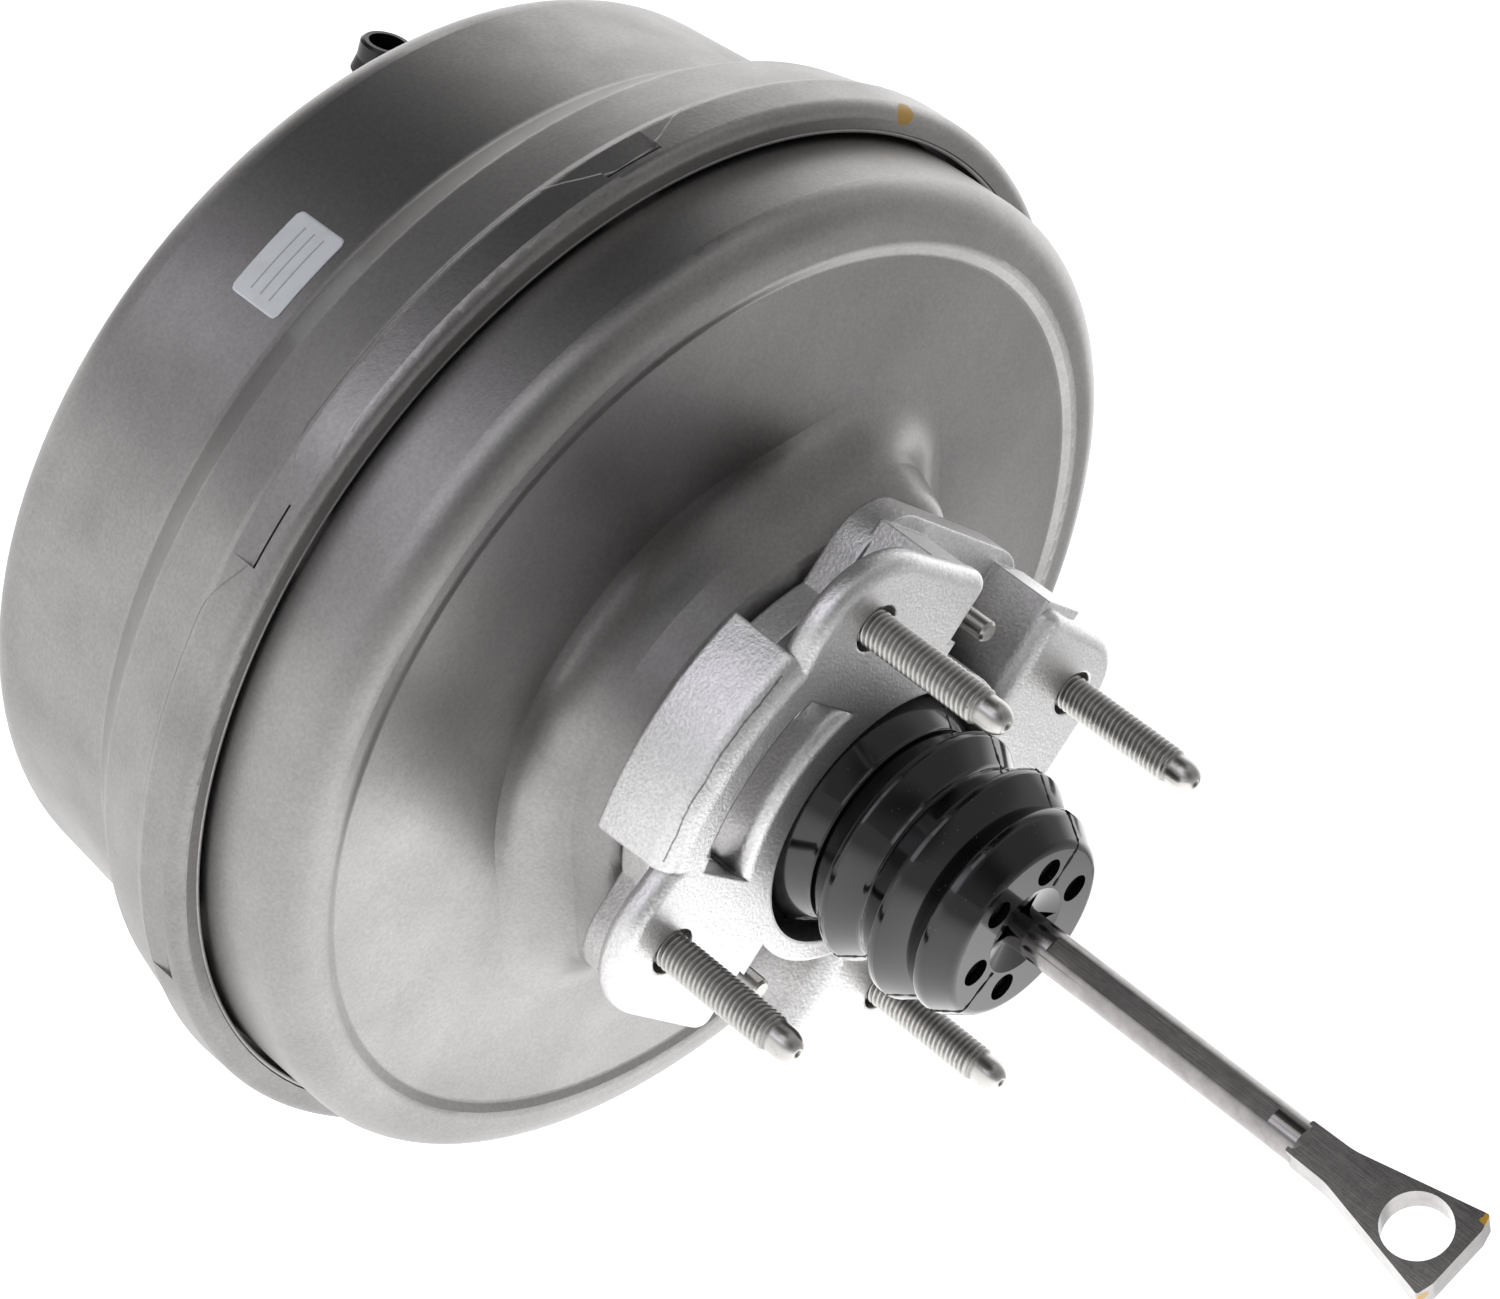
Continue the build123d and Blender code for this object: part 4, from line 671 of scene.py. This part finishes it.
class BOOSTER_OT_boot(bpy.types.Operator):
    """Glossy moulded boot: folds with witness ribs, and mould flash"""
    bl_idname = "booster.boot"
    bl_label = "Boot"

    def execute(self, context):
        finish, boot = context.scene.booster_finishes, context.scene.booster_boot
        rubber = moulded("Moulded EPDM rubber", finish.boot_rubber, 0.12, 1.2, 0.002, dust=0.35, oil=0.7,
                         ior=1.52)
        coat("boot_rubber", rubber)
        self.folds(boot, rubber)
        low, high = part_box("boot_cap")
        cap = rounded([(high.y - 2.0 * MM, 22.6 * MM, 0), (high.y - 3.5 * MM, 23.8 * MM, 1.2 * MM),
                       (CAP_SHOULDER_Y, 23.8 * MM, 2.5 * MM), (low.y, 20.0 * MM, 2.0 * MM),
                       (low.y, 10.4 * MM, 0)])
        points, faces = self.flash([(v.x, v.y) for v in cap], boot.flash_height, 23)
        make_piece("boot_cap_flash", points, faces, rubber, "power_piston", smooth=False)
        self.lip(boot, rubber)
        return {"FINISHED"}

    def folds(self, boot, rubber):
        """The bellows, with two fine ribs on each fold and flash along the mould's joint."""
        low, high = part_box("boot_bellows")
        ridges = [boot.first_ridge - fold * boot.pitch for fold in range(boot.folds)]
        corners = [(high.y, boot.root_radius, 0), (boot.first_ridge + 5.0 * MM, boot.root_radius, 1.6 * MM)]
        for y in ridges:
            corners.append((y, boot.ridge_radius, 1.8 * MM))
            corners.append((y - boot.pitch / 2, boot.valley_radius, 2.0 * MM))
        outer = [(v.x, v.y) for v in rounded(corners, 8)]
        ribbed = []
        for y, r in outer:
            offset = min(abs(abs(y - ridge) - RIB_OFFSET) for ridge in ridges)
            ribbed.append((y, r + RIB_HEIGHT * max(0.0, 1 - offset / RIB_HALF_WIDTH)))
        inner = [(y, r - boot.wall) for y, r in reversed(outer)]
        points, faces = turned(ribbed + inner + ribbed[:1], 192, close_ends=False)
        more_points, more_faces = self.flash(outer, boot.flash_height, 11)
        base = len(points)
        faces += [tuple(base + i for i in face) for face in more_faces]
        piece = make_piece("boot_folds", points + more_points, faces, rubber, "housing")
        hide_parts("boot_bellows")
        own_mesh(piece)

    def lip(self, boot, rubber):
        """The slit funnel that hugs the push rod. Its flaps are one piece."""
        low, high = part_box("boot_lip")
        points, faces = [], []
        for flap, start in enumerate(SLIT_ANGLES):
            span = (SLIT_ANGLES[(flap + 1) % len(SLIT_ANGLES)] - start) % 360.0
            first = len(points)
            for station in range(LIP_STATIONS + 1):
                share = station / LIP_STATIONS
                r = LIP_MOUTH + (high.x - LIP_MOUTH) * share
                gap = max(0.01 * MM, boot.slit_width / 2 * (1 - share / SLIT_END))
                y = low.y + boot.lip_depth * (1 - share)
                for step in range(LIP_STEPS + 1):
                    angle = math.radians(start + span * step / LIP_STEPS)
                    angle += gap / r * (1 - 2 * step / LIP_STEPS)
                    points += [around(r, angle, y), around(r, angle, y + LIP_THICKNESS)]
            faces += self.slab(first, LIP_STATIONS, LIP_STEPS)
        piece = linked_mesh("boot_lip_flaps", points, faces, rubber)
        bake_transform(piece)
        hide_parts("boot_lip")

    def slab(self, first, rows, columns):
        """Faces of a closed slab whose points run row by row, each with its front and its back."""
        def at(row, column, back):
            return first + (row * (columns + 1) + column) * 2 + back

        def edge(near, far):
            return (at(*near, 0), at(*far, 0), at(*far, 1), at(*near, 1))

        faces = []
        for row in range(rows):
            for column in range(columns):
                for back in (0, 1):
                    face = (at(row, column, back), at(row, column + 1, back), at(row + 1, column + 1, back),
                            at(row + 1, column, back))
                    faces.append(face if back else face[::-1])
        for row in range(rows):
            faces += [edge((row, 0), (row + 1, 0))[::-1], edge((row, columns), (row + 1, columns))]
        for column in range(columns):
            faces += [edge((0, column), (0, column + 1)), edge((rows, column), (rows, column + 1))[::-1]]
        return faces

    def flash(self, line, height, seed):
        """A ragged ridge of rubber along the line at both ends of the mould's joint."""
        draw = random.Random(seed)
        points, faces = [], []
        for angle in FLASH_ANGLES:
            along = heading(angle)
            across = Vector((-along.z, 0, along.x))
            dense = []
            for (y0, r0), (y1, r1) in zip(line, line[1:]):
                count = max(1, int(math.hypot(y1 - y0, r1 - r0) / FLASH_STEP))
                dense += [(y0 + (y1 - y0) * i / count, r0 + (r1 - r0) * i / count) for i in range(count)]
            dense.append(line[-1])
            first = len(points)
            for i, (y, r) in enumerate(dense):
                ahead = dense[min(i + 1, len(dense) - 1)]
                behind = dense[max(i - 1, 0)]
                out = Vector((behind[0] - ahead[0], behind[1] - ahead[1])).orthogonal().normalized()
                if out.y < 0 or (abs(out.y) < 0.05 and out.x > 0):
                    out = -out
                rise = height * draw.uniform(0.45, 1.25)
                top = along * (r + out.y * rise) + Vector((0, y + out.x * rise, 0))
                foot = along * (r - out.y * 0.1 * MM) + Vector((0, y - out.x * 0.1 * MM, 0))
                sway = across * (height * draw.uniform(-0.25, 0.25))
                spread = across * height * 0.8
                points += [tuple(foot + spread), tuple(top + sway), tuple(foot - spread)]
                if i:
                    a, b = first + 3 * (i - 1), first + 3 * i
                    faces += [(a, b, b + 1, a + 1), (a + 1, b + 1, b + 2, a + 2), (a + 2, b + 2, b, a)]
        return points, faces


EYE_ANGLE = 61.4                                                  # of the eye's plate about the axis
EYE_MARKS = ((9.3, 3.0, -148.6, 1.7), (-9.3, 1.0, -148.8, 1.4))   # along the plate, across, y and radius


class BOOSTER_OT_rod(bpy.types.Operator):
    """Polished forged steel on the push rod, with paint dabs on the corners of its eye"""
    bl_idname = "booster.rod"
    bl_label = "Push rod"

    def execute(self, context):
        finish = context.scene.booster_finishes
        side = heading(EYE_ANGLE)
        face = Vector((-side.z, 0, side.x))
        marks = [(tuple((side * along + face * across + Vector((0, y, 0))) * MM), radius * MM)
                 for along, across, y, radius in EYE_MARKS]
        steel = worked_metal("Polished forged steel", finish.rod_steel, 0.15, 0.35, "Y", 0.006, 0.15, marks,
                             finish.paint_mark)
        coat("rod_steel", steel)
        return {"FINISHED"}


LABEL_COLUMNS, LABEL_ROWS = 36, 24
LABEL_CORNER = 1.3 * MM
LABEL_GAP = 0.02 * MM
DRUM_START, DRUM_END = (105.8, 112.3), (148.8, 109.4)     # y and radius of the drum's wall, in millimetres


class BOOSTER_OT_label(bpy.types.Operator):
    """Blank white label stuck to the front shell, bent to its wall"""
    bl_idname = "booster.label"
    bl_label = "Label"

    def execute(self, context):
        finish, label = context.scene.booster_finishes, context.scene.booster_label
        vinyl = label_vinyl("White vinyl", finish.label_paper)
        rows, columns = LABEL_ROWS, LABEL_COLUMNS
        points, spots = [], []
        for layer in (LABEL_GAP, label.thickness):
            for row in range(rows + 1):
                v = row / rows
                y = label.middle + (v - 0.5) * label.width
                radius = self.wall_radius(y)
                into = max(0.0, LABEL_CORNER - min(v, 1 - v) * label.width)
                inset = LABEL_CORNER - math.sqrt(max(0.0, LABEL_CORNER ** 2 - into ** 2))
                for column in range(columns + 1):
                    across = (column / columns - 0.5) * (label.length - 2 * inset)
                    points.append(around(radius + layer, label.angle + across / radius, y))
                    spots.append((across / label.length + 0.5, v))
        faces, stride, layer_size = [], columns + 1, (columns + 1) * (rows + 1)
        for row in range(rows):
            for column in range(columns):
                a = row * stride + column
                faces.append((a, a + 1, a + 1 + stride, a + stride))
                b = a + layer_size
                faces.append((b + stride, b + 1 + stride, b + 1, b))
        rim = list(range(stride)) + [r * stride + columns for r in range(1, rows + 1)]
        rim += [rows * stride + c for c in range(columns - 1, -1, -1)]
        rim += [r * stride for r in range(rows - 1, 0, -1)]
        for i, a in enumerate(rim):
            b = rim[(i + 1) % len(rim)]
            faces.append((b, a, a + layer_size, b + layer_size))
        piece = make_piece("inspection_label", points, faces, vinyl, "housing")
        layer = piece.data.uv_layers.new(name="UVMap")
        for loop in piece.data.loops:
            layer.data[loop.index].uv = spots[loop.vertex_index]
        return {"FINISHED"}

    def wall_radius(self, y):
        """Outside radius of the front shell's drum at y."""
        (start_y, start_radius), (end_y, end_radius) = DRUM_START, DRUM_END
        share = (y / MM - start_y) / (end_y - start_y)
        return (start_radius + share * (end_radius - start_radius)) * MM


class BOOSTER_OT_valve(bpy.types.Operator):
    """Moulded nylon on the check valve"""
    bl_idname = "booster.valve"
    bl_label = "Check valve"

    def execute(self, context):
        nylon = context.scene.booster_finishes.nozzle_plastic
        coat("valve_plastic", moulded("Moulded nylon", nylon, 0.28, 0.8, 0.012, dust=0.3, ior=1.53))
        return {"FINISHED"}


SPRINGS = (("return_spring", "piston_stroke", "housing"), ("rod_spring", "plunger_travel", "power_piston"),
           ("check_spring", "check_lift", "housing"))     # spring, the slide that closes it, and its body


class BOOSTER_OT_inner_parts(bpy.types.Operator):
    """Finishes of the plates, springs, diaphragms and valve parts, most of them inside the shells"""
    bl_idname = "booster.inner_parts"
    bl_label = "Inner parts"

    def execute(self, context):
        finish = context.scene.booster_finishes
        coat("pressed_steel",
             worked_metal("Passivated pressed steel", finish.pressed_steel, 0.36, 1.2, "X", 0.02, 0.12))
        coat("spring_steel",
             worked_metal("Oiled spring wire", finish.spring_steel, 0.3, 0.4, "Y", 0.01, 0.2))
        coat("diaphragm_rubber",
             moulded("Moulded nitrile rubber", finish.diaphragm_rubber, 0.6, 0.6, 0.03, sheen=0.1, ior=1.52))
        coat("moulded_plastic", moulded("Moulded phenolic", finish.valve_body, 0.45, 0.5, 0.02, ior=1.6))
        coat("filter_fibre", open_cell_foam("Open cell foam", finish.filter_foam))
        for name, joint, body in SPRINGS:
            piece = nodes[name].copy()
            piece.data = nodes[name].data.copy()
            piece.name = name + "_wire"
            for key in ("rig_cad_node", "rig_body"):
                if key in piece:
                    del piece[key]
            piece.parent = None
            context.scene.collection.objects.link(piece)
            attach(piece, body)
            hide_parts(name)
            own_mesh(piece)
        return {"FINISHED"}


CAMERA_PLACE = (-0.736287, -0.379826, 0.146276)
CAMERA_RIGHT = Vector((0.49623, -0.69169, 0.52471))
CAMERA_DOWN = Vector((0.15094, -0.52643, -0.83671))
CAMERA_AHEAD = Vector((0.85497, 0.49440, -0.15683))
KEY_PLACE, KEY_TARGET = (-1.3, 0.2, 0.9), (0, 0.05, 0.0)
KEY_SIZE = (0.8, 0.5)
BACKDROP_WAY = (math.cos(math.radians(28.0)), math.sin(math.radians(28.0)), 0.0)
GLOW_PATCH_PLACE = (0.22, -0.16, 0.0)               # of the brighter patch of the floor's painted glow
FLOOR_SIDES = 96
FLOOR_GAP = 0.2 * MM
DARKEST = (0.04, 0.04, 0.04)
WHITE, LILAC = (1.0, 1.0, 1.0), (0.93, 0.91, 1.03)


class BOOSTER_OT_stage(bpy.types.Operator):
    """Pale floor, soft studio lights and the camera"""
    bl_idname = "booster.stage"
    bl_label = "Stage"

    def execute(self, context):
        stage, scene = context.scene.booster_stage, context.scene
        self.floor(stage)
        self.room(stage, scene)
        self.softbox("Key light", KEY_PLACE, KEY_TARGET, KEY_SIZE, stage.key_power)
        camera = bpy.data.cameras.new("Camera")
        camera.lens = stage.lens
        camera.sensor_width = 36.0
        camera.clip_start = 0.01
        viewer = bpy.data.objects.new("Camera", camera)
        scene.collection.objects.link(viewer)
        turn = Matrix((CAMERA_RIGHT, -CAMERA_DOWN, -CAMERA_AHEAD)).transposed()
        viewer.matrix_world = Matrix.Translation(CAMERA_PLACE) @ turn.to_4x4()
        scene.camera = viewer
        scene.view_settings.view_transform = "Standard"
        return {"FINISHED"}

    def floor(self, stage):
        """A broad table of milky acrylic that glows by its own emission, a painted glow in place of lamps
        under
        it: around the booster and towards the backdrop, most of all on the bracket's side."""
        acrylic, tree, shader, place = start_material("Milky acrylic", Roughness=0.9)
        stipple = ramp(tree, noise(tree, place, 6.0, 3.0), 0.3, 0.7, 0.985, 1.0)
        along = add(tree, "ShaderNodeClamp", {"Value": vectors(tree, "DOT_PRODUCT", place, BACKDROP_WAY),
                                              "Min": 0.4, "Max": stage.floor_radius}).outputs["Result"]
        away = vectors(tree, "DISTANCE", place, scaled(tree, BACKDROP_WAY, along))
        spread = maths(tree, "MULTIPLY_ADD", along, -0.35, away)
        glow = ramp(tree, spread, 0.44, 0.76, stage.table_glow, 0.0, "SMOOTHSTEP")
        beside = vectors(tree, "DISTANCE", place, GLOW_PATCH_PLACE)
        # painted glow: a brighter patch of the floor's own emission, with no lamp under it
        lamp = ramp(tree, beside, 0.12, 0.55, stage.table_glow * 0.8, 0.0, "SMOOTHSTEP")
        shader.inputs["Emission Color"].default_value = (1.0, 1.0, 1.0, 1.0)
        connect(tree, shader, Base_Color=scaled(tree, stage.floor_colour[:3], stipple),
                Emission_Strength=maths(tree, "ADD", glow, lamp))
        level = cad_box[0][2] - FLOOR_GAP
        rim = [(stage.floor_radius * math.cos(a), stage.floor_radius * math.sin(a), level)
               for a in (2 * math.pi * i / FLOOR_SIDES for i in range(FLOOR_SIDES))]
        linked_mesh("floor", rim, [tuple(range(FLOOR_SIDES))], acrylic)

    def room(self, stage, scene):
        """A dim room with a lit backdrop behind the booster, a lit wall on its left, and a dark ceiling and
        door."""
        world = bpy.data.worlds.new("Studio")
        scene.world = world
        world.use_nodes = True
        tree = world.node_tree
        way = add(tree, "ShaderNodeTexCoord").outputs["Generated"]
        tone = (stage.room, stage.room, stage.room)
        # a patch's azimuth and elevation, the angles where its fade starts and ends, its light and tint
        for azimuth, elevation, core, reach, amount, tint in (
                (32, 12, 32, 56, stage.backdrop, WHITE), (165, -8, 18, 44, stage.side_wall, LILAC),
                (140, 42, 20, 42, -stage.room * 0.80, WHITE), (75, 48, 20, 50, -stage.room * 0.30, WHITE),
                (-100, 40, 24, 50, -stage.room * 0.40, WHITE),
                (-150, 12, 18, 45, -stage.room * 0.45, WHITE)):
            middle = Vector((math.cos(math.radians(azimuth)), math.sin(math.radians(azimuth)), 0.0))
            middle *= math.cos(math.radians(elevation))
            middle.z = math.sin(math.radians(elevation))
            patch = ramp(tree, vectors(tree, "DOT_PRODUCT", way, middle), math.cos(math.radians(reach)),
                         math.cos(math.radians(core)), 0.0, amount, "SMOOTHSTEP")
            tone = vectors(tree, "ADD", tone, scaled(tree, tint, patch))
        tree.links.new(vectors(tree, "MAXIMUM", tone, DARKEST), tree.nodes["Background"].inputs["Color"])

    def softbox(self, name, place, target, size, power):
        """A rectangular softbox turned to a target."""
        lamp = bpy.data.lights.new(name, "AREA")
        lamp.shape = "RECTANGLE"
        lamp.size, lamp.size_y = size
        lamp.energy = power
        holder = bpy.data.objects.new(name, lamp)
        bpy.context.scene.collection.objects.link(holder)
        holder.location = place
        holder.rotation_euler = (Vector(target) - Vector(place)).to_track_quat("-Z", "Y").to_euler()


PIECES = (BOOSTER_OT_shells, BOOSTER_OT_bracket, BOOSTER_OT_studs, BOOSTER_OT_boot, BOOSTER_OT_rod,
          BOOSTER_OT_label, BOOSTER_OT_valve, BOOSTER_OT_inner_parts, BOOSTER_OT_stage)
SETTINGS = {"booster_finishes": BoosterFinishes, "booster_threads": StudThreads, "booster_boot": BootShape,
            "booster_label": LabelShape, "booster_stage": StageSettings}


class BOOSTER_PT_panel(bpy.types.Panel):
    """Lists the booster's pieces and settings"""
    bl_idname = "BOOSTER_PT_panel"
    bl_label = "Brake booster"
    bl_space_type = "VIEW_3D"
    bl_region_type = "UI"
    bl_category = "Booster"

    def draw(self, context):
        for piece in PIECES:
            self.layout.operator(piece.bl_idname)
        for name, group in SETTINGS.items():
            box = self.layout.box()
            for key in group.__annotations__:
                box.prop(getattr(context.scene, name), key)


def register():
    for group in SETTINGS.values():
        bpy.utils.register_class(group)
    for name, group in SETTINGS.items():
        setattr(bpy.types.Scene, name, PointerProperty(type=group))
    for piece in PIECES:
        bpy.utils.register_class(piece)
    bpy.utils.register_class(BOOSTER_PT_panel)


def unregister():
    bpy.utils.unregister_class(BOOSTER_PT_panel)
    for piece in reversed(PIECES):
        bpy.utils.unregister_class(piece)
    for name, group in SETTINGS.items():
        delattr(bpy.types.Scene, name)
        bpy.utils.unregister_class(group)


def main():
    """Dresses the booster and sets the stage."""
    register()
    bpy.ops.booster.shells()
    bpy.ops.booster.bracket()
    bpy.ops.booster.studs()
    bpy.ops.booster.boot()
    bpy.ops.booster.rod()
    bpy.ops.booster.label()
    bpy.ops.booster.valve()
    bpy.ops.booster.inner_parts()
    bpy.ops.booster.stage()


if __name__ == "__main__":
    main()
